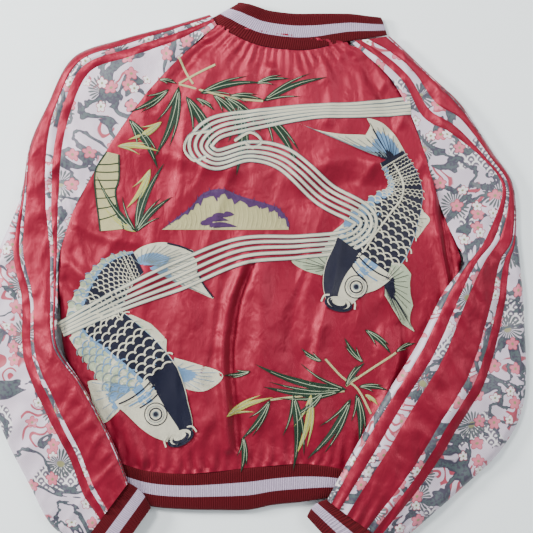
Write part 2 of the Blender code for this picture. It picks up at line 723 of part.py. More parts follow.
def collar():
    """One band of rib knit round the neck, from one front edge to the other."""
    top = BACK_TOP - RIB / 2
    low = RIB / 2
    turn = (top + low) / 2
    stations = [
        # seam x, seam y, lean x, depth share, height
        (*zip_offset(-FRONT_EDGE, -2), 3, 0.85, low), (14, 287, 14, 0.8, low),
        (-20, 305, 24, 0.75, low), (-41, 334, 28, 0.78, low), (-64, 372, 38, 0.45, turn),
        (-53, 364, 42, 0.58, top), (-32, 350, 36, 0.76, top), (0, 336, 20, 0.94, top),
        (43, 329, 10, 1.0, top), (76, 329, 8, 1.0, top), (108, 336, 4, 0.86, top),
        (132, 341, 2, 0.75, top), (160, 345, -4, 0.62, top), (184, 350, -8, 0.5, turn),
        (160, 347, -12, 0.6, low), (137, 344, -16, 0.65, low), (121, 318, -18, 0.8, low),
        (99, 293, -14, 0.8, low),
        (*zip_offset(FRONT_EDGE, -2), -3, 0.85, low),
    ]
    rows = []
    for x, y, lean, share, z in stations:
        (px, py), = plan([(x, y)])
        rows.append([(px + s * lean, py + s * share * COLLAR_DEPTH, z) for s in (0.0, 0.5, 1.0)])
    shell("collar_rib", rows, RIB, KNIT)


def zip_offset(across, down):
    """A point beside the zip, in drawn plan units."""
    x, y = zip_point(across, down)
    return x / WIDE, y / LONG


def hem_rib():
    """One band of rib knit round the hem, from one front edge to the other."""
    top = BACK_TOP - RIB / 2
    low = RIB / 2
    seam = [(x, y - SEAM) for x, y in plan(HEM_SEAM)]
    bottom_left = zip_point(-FRONT_EDGE, zip_length())
    bottom_right = zip_point(FRONT_EDGE, zip_length())
    start = zip_point(-FRONT_EDGE, zip_length() - HEM_DEPTH)
    finish = zip_point(FRONT_EDGE, zip_length() - HEM_DEPTH)
    front_left = [p for p in seam if p[0] < start[0] - FRONT_CORNER][::-1]
    front_right = [p for p in seam if p[0] > finish[0] + FRONT_CORNER][::-1]
    rows = [[(*start, low), (*bottom_left, low)]]
    rows += [[(x, y, low), (x, y - HEM_DEPTH - FRONT_HEM_DROP, low)] for x, y in front_left[:-1]]
    (x, y), (right_x, right_y) = seam[0], seam[-1]
    turn = (top + low) / 2
    y -= RIB / 2
    right_y -= RIB / 2
    taper = HEM_TAPER
    rows += [[(x + RIB, y, low), (x + RIB + taper, y - HEM_DEPTH, low)],
             [(x + HEM_TURN, y, turn), (x + taper, y - HEM_DEPTH, turn)],
             [(x + RIB, y, top), (x + RIB + taper, y - HEM_DEPTH, top)]]
    rows += [[(x, y, top), (x, y - HEM_DEPTH, top)] for x, y in seam[1:-1]]
    rows += [[(right_x - RIB, right_y, top), (right_x - RIB - taper, right_y - HEM_DEPTH, top)],
             [(right_x - HEM_TURN, right_y, turn), (right_x - taper, right_y - HEM_DEPTH, turn)],
             [(right_x - RIB, right_y, low), (right_x - RIB - taper, right_y - HEM_DEPTH, low)]]
    rows += [[(x, y, low), (x, y - HEM_DEPTH, low)] for x, y in front_right[1:]]
    rows += [[(*finish, low), (*bottom_right, low)]]
    halved = [[a, between(a, b, 0.5), b] for a, b in rows]
    shell("hem_rib", halved, RIB, KNIT)


def zip_fastener():
    """Tapes, chain, stops, slider and pull, recessed between the fronts."""
    length = zip_length()
    chain_out = CHAIN_GAP + CHAIN_WIDTH
    top = CHAIN_LOW + CHAIN_HEIGHT
    for side, sign in (("left", -1), ("right", 1)):
        zip_bar(f"zip_chain_{side}", sign * CHAIN_GAP, sign * chain_out, 0, length,
                CHAIN_LOW, top, METAL)
        zip_bar(f"zip_tape_{side}", sign * (chain_out + GAP), sign * (chain_out + TAPE_WIDTH),
                0, length, TAPE_LOW, TAPE_LOW + TAPE, TAPE_CLOTH)
        zip_bar(f"zip_top_stop_{side}", sign * (CHAIN_GAP - GAP), sign * chain_out,
                -TOP_STOP - GAP, -GAP, CHAIN_LOW, top, METAL)
    zip_bar("zip_retainer", -chain_out - GAP, chain_out + GAP, length + GAP,
            length + GAP + RETAINER_LENGTH, CHAIN_LOW, top, METAL)
    slider_start = SLIDER_BELOW_STOP
    pivot = axis_point("slider_axis", *zip_point(0, slider_start), CHAIN_LOW)
    slider_body(slider_start, top, pivot)
    hinge_down = slider_start + SLIDER_LENGTH / 2
    pull_mid = TABLE_CLEARANCE + PULL / 2
    pull_axis = axis_point("pull_axis", *zip_point(0, hinge_down), pull_mid)
    pull_axis.parent = pivot
    pull_axis.matrix_parent_inverse = pivot.matrix_world.inverted()
    bpy.context.view_layer.update()
    zip_bar("zip_pull", -PULL_WIDTH / 2, PULL_WIDTH / 2, hinge_down - PULL / 3,
            hinge_down + PULL_LENGTH, TABLE_CLEARANCE, TABLE_CLEARANCE + PULL, METAL, pull_axis)


def slider_body(start, chain_top, pivot):
    """Two plates round the chain, joined by a post that runs between its two sides."""
    half = SLIDER_WIDTH / 2
    section = [
        (-half, SLIDER_LOW), (half, SLIDER_LOW), (half, SLIDER_LOW + SLIDER_PLATE),
        (SLIDER_POST / 2, SLIDER_LOW + SLIDER_PLATE), (SLIDER_POST / 2, chain_top + GAP),
        (half, chain_top + GAP), (half, chain_top + GAP + SLIDER_PLATE),
        (-half, chain_top + GAP + SLIDER_PLATE), (-half, chain_top + GAP),
        (-SLIDER_POST / 2, chain_top + GAP), (-SLIDER_POST / 2, SLIDER_LOW + SLIDER_PLATE),
        (-half, SLIDER_LOW + SLIDER_PLATE),
    ]
    bm = bmesh.new()
    face = bm.faces.new([bm.verts.new((*zip_point(u, start), z)) for u, z in section])
    made = bmesh.ops.extrude_face_region(bm, geom=[face])["geom"]
    x, y = (b - a for a, b in zip(zip_point(0, start), zip_point(0, start + SLIDER_LENGTH)))
    bmesh.ops.translate(
        bm, vec=(x, y, 0), verts=[v for v in made if isinstance(v, bmesh.types.BMVert)]
    )
    place("zip_slider", bm, METAL, pivot)


def star(hub, tips):
    """A spray of leaves round its hub, anticlockwise: each tip runs back to a valley by the hub."""
    centre = Vector(hub)
    east = Vector((1, 0))
    spokes = sorted((Vector(tip) - centre for tip in tips), key=lambda v: v.angle_signed(east))
    outline = []
    for i, spoke in enumerate(spokes):
        following = spokes[(i + 1) % len(spokes)]
        valley = spoke.normalized() + following.normalized()
        if valley.length < CLOSEST_VALLEY:
            valley = Vector((-spoke.y, spoke.x))
        turn = spoke.x * following.y - spoke.y * following.x
        valley = valley if turn >= 0 else -valley
        outline.append(tuple(centre + spoke))
        outline.append(tuple(centre + HUB_RADIUS * valley.normalized()))
    return outline


def embroidery():
    """The back's motifs, each one stitched patch."""
    top = STITCH_LOW + EMBROIDERY
    patches = {
        "koi_left": (KOI_LEFT[::-1], THREAD),
        "koi_right": (KOI_RIGHT[::-1], NAVY_THREAD),
        "mound": (MOUND[::-1], THREAD),
        "stump": (STUMP[::-1], THREAD),
        "bamboo_upper": (star(UPPER_HUB, UPPER_LEAVES), GREEN_THREAD),
        "bamboo_lower": (star(LOWER_HUB, LOWER_LEAVES), GREEN_THREAD),
    }
    for name, (points, finish) in patches.items():
        slab(name, plan(points), STITCH_LOW, top, finish)
    path = smooth(plan(STREAM_PATH))
    sides = (shifted(path, STREAM_WIDTH / 2), shifted(path, -STREAM_WIDTH / 2))
    rows = [[(*a, 0.0), (*b, 0.0)] for a, b in zip(*sides)]
    layer("stream", rows, STREAM_LOW, EMBROIDERY, THREAD)


def neck_trim():
    """The blank label and the hanging loop, inside the back neck."""
    (x, y), = plan([LABEL_CENTRE])
    top = BACK_LINING_LOW - GAP
    slab("neck_label", tilted((x, y), LABEL_HEIGHT, LABEL_WIDTH, 0.0), top - LABEL, top, PAPER)
    (x, y), = plan([LOOP_CENTRE])
    slab("hanger_loop", tilted((x, y), LOOP_WIDTH, LOOP_LENGTH, 0.0), top - CLOTH / 2, top, SATIN)


def centre_everything():
    """Stands the jacket on the middle of its own footprint."""
    bpy.context.view_layer.update()
    graph = bpy.context.evaluated_depsgraph_get()
    corners = []
    for obj in bpy.context.scene.objects:
        if obj.type == "MESH" and not obj.hide_render:
            mesh = obj.evaluated_get(graph).to_mesh()
            world = obj.matrix_world
            corners += [world @ vert.co for vert in mesh.vertices]
            obj.evaluated_get(graph).to_mesh_clear()
    low, high = ([pick(c[i] for c in corners) for i in range(3)] for pick in (min, max))
    shift = Vector((-(low[0] + high[0]) / 2, -(low[1] + high[1]) / 2, -low[2]))
    for obj in bpy.context.scene.objects:
        if obj.parent is None:
            obj.location += shift
    bpy.context.view_layer.update()


def main():
    for obj in list(bpy.data.objects):
        bpy.data.objects.remove(obj, do_unlink=True)
    body()
    collar()
    hem_rib()
    zip_fastener()
    embroidery()
    neck_trim()
    upper_sleeve("left", LEFT_STRIPS, FRONT_RAGLAN_LEFT, LEFT_CLIMB)
    upper_sleeve("right", RIGHT_STRIPS, FRONT_RAGLAN_RIGHT, RIGHT_CLIMB)
    left_axis = axis_point("left_sleeve_fold", *plan([(LEFT_FOLD_X, LEFT_FOLD_Y)])[0],
                           BACK_TOP + LEFT_FOLD_RISE)
    right_axis = axis_point("right_sleeve_fold", *plan([(RIGHT_FOLD_X, RIGHT_FOLD_Y)])[0],
                            BACK_TOP + CLIMB + RIGHT_FOLD_RISE)
    lower_sleeve("left", LEFT_INNER, LEFT_OUTER, LEFT_LOWER_STRIPS, LEFT_CLIMB, left_axis)
    lower_sleeve("right", RIGHT_INNER, RIGHT_OUTER, RIGHT_LOWER_STRIPS, RIGHT_CLIMB, right_axis)
    centre_everything()


main()
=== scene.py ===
"""The looks of an embroidered satin jacket that lies flat with its back up.

Lengths are millimetres on the table until a piece is finished, when its mesh is turned into metres.
Seam lines are drawn from the middle of the jacket: +X towards the wearer's right, +Y to the collar.
"""

import math
from types import SimpleNamespace

import bmesh
import bpy
import numpy as np
from bpy.props import FloatProperty, FloatVectorProperty, PointerProperty
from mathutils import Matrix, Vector, noise
from mathutils.bvhtree import BVHTree


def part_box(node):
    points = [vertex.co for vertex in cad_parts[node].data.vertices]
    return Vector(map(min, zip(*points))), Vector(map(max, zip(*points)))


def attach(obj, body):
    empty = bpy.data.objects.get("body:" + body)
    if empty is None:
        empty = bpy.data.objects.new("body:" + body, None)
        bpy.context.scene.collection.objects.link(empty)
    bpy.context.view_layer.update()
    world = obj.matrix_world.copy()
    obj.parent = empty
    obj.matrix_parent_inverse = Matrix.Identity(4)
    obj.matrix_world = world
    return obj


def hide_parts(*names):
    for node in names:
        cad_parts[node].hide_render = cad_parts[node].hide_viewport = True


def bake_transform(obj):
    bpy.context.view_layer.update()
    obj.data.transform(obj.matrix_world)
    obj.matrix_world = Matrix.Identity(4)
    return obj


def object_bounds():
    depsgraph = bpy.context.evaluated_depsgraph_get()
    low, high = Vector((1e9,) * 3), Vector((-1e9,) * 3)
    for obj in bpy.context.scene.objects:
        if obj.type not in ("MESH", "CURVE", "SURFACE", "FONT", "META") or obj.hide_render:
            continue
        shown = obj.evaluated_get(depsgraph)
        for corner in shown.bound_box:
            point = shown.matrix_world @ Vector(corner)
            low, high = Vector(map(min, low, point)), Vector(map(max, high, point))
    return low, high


bl_info = {
    "name": "Embroidered satin jacket",
    "version": (1, 0, 0),
    "blender": (4, 5, 0),
    "location": "3D View > Sidebar > Jacket",
    "description": "Builds the cloth, rib knit, embroidery and zip of a jacket round its frame",
    "category": "Object",
}

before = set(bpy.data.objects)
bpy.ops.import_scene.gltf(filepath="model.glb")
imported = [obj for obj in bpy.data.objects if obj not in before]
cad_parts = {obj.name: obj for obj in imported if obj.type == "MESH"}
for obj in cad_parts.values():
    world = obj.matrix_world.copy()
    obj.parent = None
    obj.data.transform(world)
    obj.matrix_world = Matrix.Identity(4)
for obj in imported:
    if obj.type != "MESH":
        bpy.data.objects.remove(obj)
CAD_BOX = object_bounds()

MM = 0.001
LABEL_PLACE = Vector((58.0, 285.0))
label_low, label_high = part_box("neck_label")
HOME = ((label_low + label_high) / 2 / MM).xy - LABEL_PLACE
BACK_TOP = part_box("back_lining")[1].z / MM + 2.3
MIDDLE = BACK_TOP / 2
ZIP_LEVEL = (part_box("zip_chain_left")[0].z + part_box("zip_chain_left")[1].z) / 2 / MM
LINING_GAP = 3.2
LINING_INSET = 5.0
SIDE_ROUND = 12.0
FOLD_GAIN = 1.6
BIG_SWELL, SMALL_SWELL, CREASE = 2.6, 1.3, 3.2
SEAM_DIP, SEAM_WIDTH = 1.4, 3.0
HEM_GATHER = 3.8
NECK_PUCKER = 2.2
NECK_CENTRE = (38.0, 420.0)
LOWEST = 0.4

# Seams of the body.
RAGLAN_LEFT = [(-55, 363), (-98, 326), (-148, 274), (-188, 220), (-221, 167), (-251, 113),
               (-266, 74), (-276, 36), (-277, -22)]
RAGLAN_RIGHT = [(132, 340), (172, 305), (196, 277), (220, 230), (237, 181), (252, 129),
                (267, 87), (280, 57), (289, 28)]
SIDE_LEFT = [(-277, -22), (-272, -84), (-258, -155), (-235, -211), (-196, -249)]
SIDE_RIGHT = [(289, 28), (290, -8), (280, -78), (262, -162), (227, -218), (178, -255)]
HEM_SEAM = [(-196, -249), (-154, -262), (-105, -266), (-57, -263), (-21, -259), (20, -255),
            (62, -252), (97, -255), (130, -260), (178, -255)]
NECK_BACK = [(132, 340), (108, 335), (76, 328), (43, 328), (0, 335), (-32, 349), (-55, 363)]
FRONT_RAGLAN_LEFT = [(-43, 322), (-90, 274), (-134, 227), (-174, 185), (-207, 143), (-238, 99),
                     (-260, 64), (-274, 31), (-277, -22)]
FRONT_RAGLAN_RIGHT = [(125, 316), (154, 274), (179, 235), (204, 193), (227, 151), (246, 111),
                      (263, 76), (284, 50), (289, 28)]
ZIP_TOP, ZIP_BOTTOM = Vector((56, 280)), Vector((-8, -306))

# Sleeves: the seams between their strips from the raglan seam outwards, down to the elbow.
LEFT_UPPER = [
    RAGLAN_LEFT,
    [(-58, 368), (-111, 342), (-176, 319), (-232, 298), (-259, 244), (-272, 188), (-277, 118),
     (-279, 48), (-280, -22)],
    [(-60, 372), (-115, 351), (-182, 329), (-242, 305), (-270, 249), (-283, 190), (-287, 118),
     (-284, 48), (-283, -22)],
    [(-62, 375), (-117, 357), (-186, 335), (-248, 311), (-279, 253), (-293, 192), (-295, 118),
     (-289, 48), (-287, -22)],
    [(-66, 379), (-120, 363), (-191, 344), (-258, 318), (-295, 249), (-319, 193), (-333, 118),
     (-364, 43), (-378, -22)],
]
RIGHT_UPPER = [
    RAGLAN_RIGHT,
    [(138, 341), (178, 311), (209, 280), (235, 234), (274, 211), (319, 174), (345, 132),
     (322, 64), (294, 28)],
    [(147, 342), (185, 318), (217, 287), (244, 244), (280, 221), (323, 176), (350, 134),
     (336, 67), (305, 28)],
    [(157, 343), (192, 323), (224, 294), (253, 253), (287, 231), (327, 179), (354, 136),
     (344, 69), (316, 28)],
    [(189, 348), (209, 329), (245, 294), (284, 258), (305, 228), (334, 184), (362, 139),
     (368, 64), (372, 28)],
]
# Where the outer inset, outer band and outer panel start, as shares of what lies past the inset.
LEFT_OUTER_SHARES = [(0.94, 0.96, 0.98)] * 6 + [(0.72, 0.80, 0.90), (0.50, 0.57, 0.68),
                                                (0.27, 0.32, 0.45)]
RIGHT_OUTER_SHARES = [(0.80, 0.86, 0.96)] * 6 + [(0.78, 0.84, 0.92), (0.66, 0.75, 0.85),
                                                 (0.43, 0.55, 0.70)]
# Below the elbow: inner and outer edge, and the strips' seams as shares between the two.
LEFT_INNER = [(-274, -85), (-242, -139), (-209, -200), (-190, -242), (-178, -277)]
LEFT_OUTER = [(-379, -120), (-358, -204), (-319, -283), (-288, -340), (-246, -368)]
LEFT_SHARES = [(0.02, 0.04, 0.06, 0.32, 0.37, 0.49), (0.0, 0.01, 0.02, 0.33, 0.38, 0.48),
               (0.0, 0.01, 0.02, 0.34, 0.39, 0.48), (0.0, 0.01, 0.02, 0.37, 0.42, 0.52),
               (0.0, 0.01, 0.02, 0.40, 0.46, 0.56)]
RIGHT_INNER = [(260, -13), (225, -83), (183, -151), (144, -217), (99, -300)]
RIGHT_OUTER = [(378, -50), (378, -162), (347, -231), (286, -291), (195, -370)]
RIGHT_SHARES = [(0.06, 0.18, 0.27, 0.56, 0.64, 0.73), (0.05, 0.15, 0.23, 0.48, 0.55, 0.63),
                (0.05, 0.14, 0.22, 0.46, 0.52, 0.60), (0.05, 0.16, 0.25, 0.52, 0.59, 0.68),
                (0.06, 0.18, 0.28, 0.58, 0.66, 0.76)]

# Both sleeves: where they fold, how far out the fold's middle is, and how their creases lie.
SLEEVES = {
    "left": SimpleNamespace(
        upper=LEFT_UPPER, outer_shares=LEFT_OUTER_SHARES, inner=LEFT_INNER, outer=LEFT_OUTER,
        shares=LEFT_SHARES, front=FRONT_RAGLAN_LEFT, fold_y=-22.0, middle_x=-328.0,
        seed=31.0, lean=0.5, crease_way=0.9),
    "right": SimpleNamespace(
        upper=RIGHT_UPPER, outer_shares=RIGHT_OUTER_SHARES, inner=RIGHT_INNER, outer=RIGHT_OUTER,
        shares=RIGHT_SHARES, front=FRONT_RAGLAN_RIGHT, fold_y=28.0, middle_x=330.0,
        seed=57.0, lean=-0.5, crease_way=2.2),
}

# Folds in the back: each runs along its points, with a height and a width, + up and - down.
FOLDS = [
    ([(-17, 29), (-35, -18), (-45, -67), (-48, -115), (-42, -175), (-38, -230)], 5.5, 7.5),
    ([(-5, 29), (-24, -18), (-33, -67), (-35, -115), (-30, -175), (-27, -230)], -4.0, 4.5),
    ([(244, 146), (250, 90), (262, 30), (268, -10)], 4.0, 6.0),
    ([(262, 110), (266, 60), (276, 10)], -3.5, 5.0),
    ([(-262, 30), (-232, 4), (-196, -16)], 3.5, 8.0),
    ([(-266, 4), (-240, -22), (-205, -40)], -3.0, 7.0),
    ([(-250, 84), (-214, 66), (-168, 58)], 2.6, 9.0),
    ([(60, 150), (118, 176), (176, 168)], 3.2, 14.0),
    ([(70, 118), (124, 140), (180, 132)], -3.0, 13.0),
    ([(-150, 190), (-92, 172), (-30, 160)], 2.4, 12.0),
    ([(4, 30), (8, -40), (4, -110), (12, -180)], 3.0, 18.0),
    ([(60, 20), (54, -60), (62, -130)], -2.6, 16.0),
    ([(92, -60), (86, -130), (92, -190)], 2.8, 12.0),
    ([(178, -70), (186, -130), (172, -196)], 3.2, 11.0),
    ([(-90, -40), (-84, -110), (-72, -190)], 2.8, 16.0),
    ([(-200, -170), (-178, -206), (-160, -246)], 3.4, 9.0),
    ([(206, -60), (214, -120), (204, -180)], -3.0, 9.0),
    ([(20, 300), (12, 262), (-6, 226)], 2.6, 8.0),
    ([(96, 306), (106, 268), (100, 230)], 2.4, 9.0),
    ([(150, 310), (176, 262), (194, 214)], -2.8, 8.0),
    ([(-72, 336), (-110, 292), (-142, 252)], -2.6, 8.0),
]


def smooth(points, steps):
    """A curve through the points, with this many steps between neighbours, as an array."""
    p = np.array(points, float)
    p = np.vstack([2 * p[0] - p[1], p, 2 * p[-1] - p[-2]])
    t = (np.arange(steps) / steps)[:, None]
    runs = [
        b + (t * (c - a) + t ** 2 * (2 * a - 5 * b + 4 * c - d) + t ** 3 * (3 * b - a - 3 * c + d)) / 2
        for a, b, c, d in zip(p, p[1:], p[2:], p[3:])
    ]
    return np.vstack(runs + [p[-2:-1]])


def away(points, line):
    """The distance of each point from a line of points."""
    points, line = np.asarray(points, float)[:, :2], np.asarray(line, float)[:, :2]
    best = np.full(len(points), 1e9)
    for a, b in zip(line, line[1:]):
        along = b - a
        share = np.clip(((points - a) @ along) / max(along @ along, 1e-9), 0, 1)
        best = np.minimum(best, np.linalg.norm(points - a - share[:, None] * along, axis=1))
    return best


def ease(t):
    """A smooth step from 0 to 1."""
    t = np.clip(t, 0, 1)
    return t * t * (3 - 2 * t)


def waves(points, length, seed, stretch=1.0, turn=0.0):
    """Smooth noise from -1 to 1 whose humps are about this long, and longer along a direction."""
    c, s = math.cos(turn), math.sin(turn)
    return np.array([
        noise.noise(Vector(((x * c + y * s) / (length * stretch), (y * c - x * s) / length, seed)))
        for x, y in np.asarray(points)[:, :2]
    ])


def creases(points, length, seed, stretch=3.0, turn=0.0):
    """Sharper ridges with flat ground between them, from 0 to 1."""
    return np.clip(1 - 3.2 * np.abs(waves(points, length, seed, stretch, turn)), 0, 1) ** 1.6


def rounded(distance, radius):
    """The share of its full height that cloth has at this distance from a fold at its edge."""
    return np.sqrt(1 - (1 - np.clip(distance / radius, 0, 1)) ** 2)


def open_back(points):
    """1 where nothing lies on the back, and less under the lower sleeves."""
    under = np.zeros(len(points), bool)
    for arm in SLEEVES.values():
        under |= inside(points, arm.inner + arm.outer[::-1])
    near = np.minimum(away(points, LEFT_INNER), away(points, RIGHT_INNER))
    return np.where(under, 1 - 0.85 * ease(near / 14), 1.0)


def back_height(points):
    """The height of the back over the table."""
    points = np.asarray(points, float)[:, :2]
    x, y = points.T
    z = np.full(len(points), BACK_TOP)
    free = open_back(points)
    for line, height, width in FOLDS:
        z += FOLD_GAIN * height * np.exp(-(away(points, smooth(line, 4)) / width) ** 2) * free
    hem = y - np.interp(x, [p[0] for p in HEM_SEAM], [p[1] for p in HEM_SEAM])
    gather = np.sin(x / 2.6 + 2.4 * waves(points, 38, 4.0)) * (0.55 + 0.6 * waves(points, 30, 9.0))
    z += HEM_GATHER * gather * np.exp(-np.clip(hem - 3, 0, None) / 34) * ease(hem / 5) * free
    neck = away(points, NECK_BACK)
    around = np.arctan2(y - NECK_CENTRE[1], x - NECK_CENTRE[0])
    pucker = np.sin(around * 62 + 1.6 * waves(points, 30, 2.0))
    z += NECK_PUCKER * pucker * np.exp(-neck / 24) * ease(neck / 4)
    swell = BIG_SWELL * waves(points, 62, 1.0, 1.6, 1.4)
    swell += SMALL_SWELL * waves(points, 26, 5.0, 2.0, 1.2)
    z += swell * free
    z += CREASE * creases(points, 52, 12.0, 3.4, 1.3) * ease(away(points, HEM_SEAM) / 60) * free
    for seam in (RAGLAN_LEFT, RAGLAN_RIGHT):
        z -= SEAM_DIP * np.exp(-(away(points, smooth(seam, 4)) / SEAM_WIDTH) ** 2)
    return round_sides(points, z)


def round_sides(points, z):
    """Heights drawn in to the middle near both sides, where the back turns into the fronts."""
    for side in (SIDE_LEFT, SIDE_RIGHT):
        z = MIDDLE + (z - MIDDLE) * rounded(away(points, smooth(side, 4)) + 0.4, SIDE_ROUND)
    return z


def tall_of(nodes):
    """A search tree of some CAD pieces, in millimetres."""
    points, faces = [], []
    for name in nodes:
        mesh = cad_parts[name].data
        start = len(points)
        points += [v.co / MM for v in mesh.vertices]
        faces += [[start + i for i in face.vertices] for face in mesh.polygons]
    return BVHTree.FromPolygons(points, faces)


def surface(tree, points, down):
    """The height at which a ray from above, or from below, first meets the pieces."""
    start, way = (200.0, Vector((0, 0, -1))) if down else (-50.0, Vector((0, 0, 1)))
    found = []
    for x, y in points:
        hit = tree.ray_cast(Vector((x, y, start)), way)[0]
        if hit is None:
            hit = tree.find_nearest(Vector((x, y, 40.0 if down else -5.0)))[0]
        found.append(hit.z)
    return np.array(found)


def settle(grid, times):
    """Evens out a grid of heights with its neighbours."""
    for _ in range(times):
        wide = np.pad(grid, 1, mode="edge")
        grid = (2 * grid + wide[:-2, 1:-1] + wide[2:, 1:-1] + wide[1:-1, :-2] + wide[1:-1, 2:]) / 6
    return grid


class Wire:
    """One output in a material's node tree, which can be used in sums."""

    def __init__(self, look, socket):
        self.look, self.socket = look, socket

    def math(self, operation, *others):
        return self.look.node("ShaderNodeMath", [self, *others], operation=operation)

    def turned(self, operation, other):
        return self.look.node("ShaderNodeMath", [other, self], operation=operation)

    def __add__(self, other):
        return self.math("ADD", other)

    def __sub__(self, other):
        return self.math("SUBTRACT", other)

    def __mul__(self, other):
        return self.math("MULTIPLY", other)

    def __truediv__(self, other):
        return self.math("DIVIDE", other)

    def __pow__(self, other):
        return self.math("POWER", other)

    def __radd__(self, other):
        return self.turned("ADD", other)

    def __rsub__(self, other):
        return self.turned("SUBTRACT", other)

    def __rmul__(self, other):
        return self.turned("MULTIPLY", other)

    def __rtruediv__(self, other):
        return self.turned("DIVIDE", other)

    def step(self, low, high):
        """0 below low, 1 above high, and smooth between them."""
        return self.look.node("ShaderNodeMapRange", [self, low, high], interpolation_type="SMOOTHSTEP")

    def band(self, middle, half, soft):
        """1 within half of the middle, falling to 0 over soft."""
        return 1 - (self - middle).math("ABSOLUTE").step(half, half + soft)


class Look:
    """A material while it is being wired."""

    def __init__(self, name, roughness=0.6, **constants):
        self.material = bpy.data.materials.new(name)
        self.material.use_nodes = True
        self.tree = self.material.node_tree
        self.shader = next(n for n in self.tree.nodes if n.type == "BSDF_PRINCIPLED")
        self.shader.inputs["Roughness"].default_value = roughness
        for key, value in constants.items():
            self.shader.inputs[key.replace("_", " ")].default_value = value

    def plug(self, socket, value):
        if isinstance(value, Wire):
            self.tree.links.new(value.socket, socket)
        elif value is not None:
            socket.default_value = value

    def node(self, kind, inputs=(), output=0, **settings):
        """Any node: inputs go by place, or by name in a dictionary."""
        made = self.tree.nodes.new(kind)
        for key, value in settings.items():
            setattr(made, key, value)
        named = inputs.items() if isinstance(inputs, dict) else enumerate(inputs)
        for key, value in named:
            self.plug(made.inputs[key], value)
        return Wire(self, made.outputs[output])

    def place(self, stretch=(1, 1, 1)):
        """Where a point of the cloth is, in millimetres."""
        found = self.node("ShaderNodeTexCoord", output="Object")
        return self.node("ShaderNodeVectorMath", [found, [1000 * s for s in stretch]], operation="MULTIPLY")

    def weave(self):
        """Across and along the cloth, in millimetres."""
        found = self.node("ShaderNodeUVMap", output=0, uv_map="Weave")
        made = self.node("ShaderNodeSeparateXYZ", [found]).socket.node
        return Wire(self, made.outputs[0]) * 1000, Wire(self, made.outputs[1]) * 1000

    def parts(self, vector):
        made = self.node("ShaderNodeSeparateXYZ", [vector]).socket.node
        return Wire(self, made.outputs[0]), Wire(self, made.outputs[1])

    def noise(self, where, size, detail=2.0, distortion=0.0):
        return self.node("ShaderNodeTexNoise", {"Vector": where, "Scale": 1 / size, "Detail": detail,
                                                "Distortion": distortion})

    def mix(self, share, a, b):
        colours = [(*c, 1.0) if not isinstance(c, Wire) else c for c in (a, b)]
        return self.node("ShaderNodeMix", {0: share, 6: colours[0], 7: colours[1]}, 2, data_type="RGBA")

    def bump(self, height, distance, strength=1.0):
        """Relief of this height, in millimetres."""
        return self.node("ShaderNodeBump",
                         {"Height": height, "Distance": distance * MM, "Strength": strength})

    def done(self, colour, normal=None, roughness=None):
        self.plug(self.shader.inputs["Base Color"], colour)
        self.plug(self.shader.inputs["Normal"], normal)
        self.plug(self.shader.inputs["Roughness"], roughness)
        return self.material


def tint(colour):
    """A colour as linear light, from its screen values."""
    return tuple((c / 12.92 if c < 0.04045 else ((c + 0.055) / 1.055) ** 2.4) for c in colour)


def satin(name, colour, deep, glow=0.45):
    """Glossy satin with slubs along it and soft crumples."""
    look = Look(name, Metallic=glow, Anisotropic=0.35, Sheen_Weight=0.12, Sheen_Roughness=0.4,
                Specular_IOR_Level=0.4)
    where = look.place()
    across, along = look.parts(where)
    slub = look.noise(look.place((1, 0.05, 1)), 0.7, 1.0)
    weave = (across * 9.0).math("SINE") * 0.5 + (along * 7.0).math("SINE") * 0.2 + slub
    shade = look.noise(where, 40.0, 3.0) * 0.55 + slub * 0.3
    drawn = look.place((1, 0.6, 1))
    crumple = look.noise(drawn, 44.0, 1.5, 0.3) * 6.0 + look.noise(drawn, 15.0, 2.0, 0.4) * 1.5
    normal = look.bump(crumple + weave * 0.02, 1.6, 0.8)
    return look.done(look.mix(shade, deep, colour), normal, look.noise(where, 22.0) * 0.16 + 0.37)


def rib_look(name, colour, stripe, low, high):
    """Rib knit whose stripe lies between two shares of its depth, darkened between its ribs as painted shade.
    """
    look = Look(name, 0.85, Sheen_Weight=0.05, Specular_IOR_Level=0.2)
    across, along = look.weave()
    depth = look.node("ShaderNodeAttribute", output="Fac", attribute_name="depth")
    in_stripe = depth.band((low + high) / 2, (high - low) / 2 - 0.005, 0.01)
    # Painted shade: this wave darkens every other half rib, where the grooves between the ribs would fall
    # into shade.
    rib_groove_shade = (across * 2.1).math("SINE") * 0.5 + 0.5
    stitch = ((along * 3.6) + (across * 4.2).math("SINE") * 0.9).math("SINE")
    fuzz = look.noise(look.place(), 0.6, 2.0)
    # The half and 0.6 copies of the knit and stripe colours are painted groove shade; fuzz adds random darker
    # tone.
    ground = look.mix(in_stripe, look.mix(rib_groove_shade, tuple(c * 0.5 for c in colour), colour),
                      look.mix(rib_groove_shade, tuple(c * 0.6 for c in stripe), stripe))
    return look.done(look.mix(fuzz * 0.35, ground, tuple(c * 0.7 for c in colour)),
                     look.bump(stitch * 0.3 + fuzz * 0.5, 0.35, 0.7))


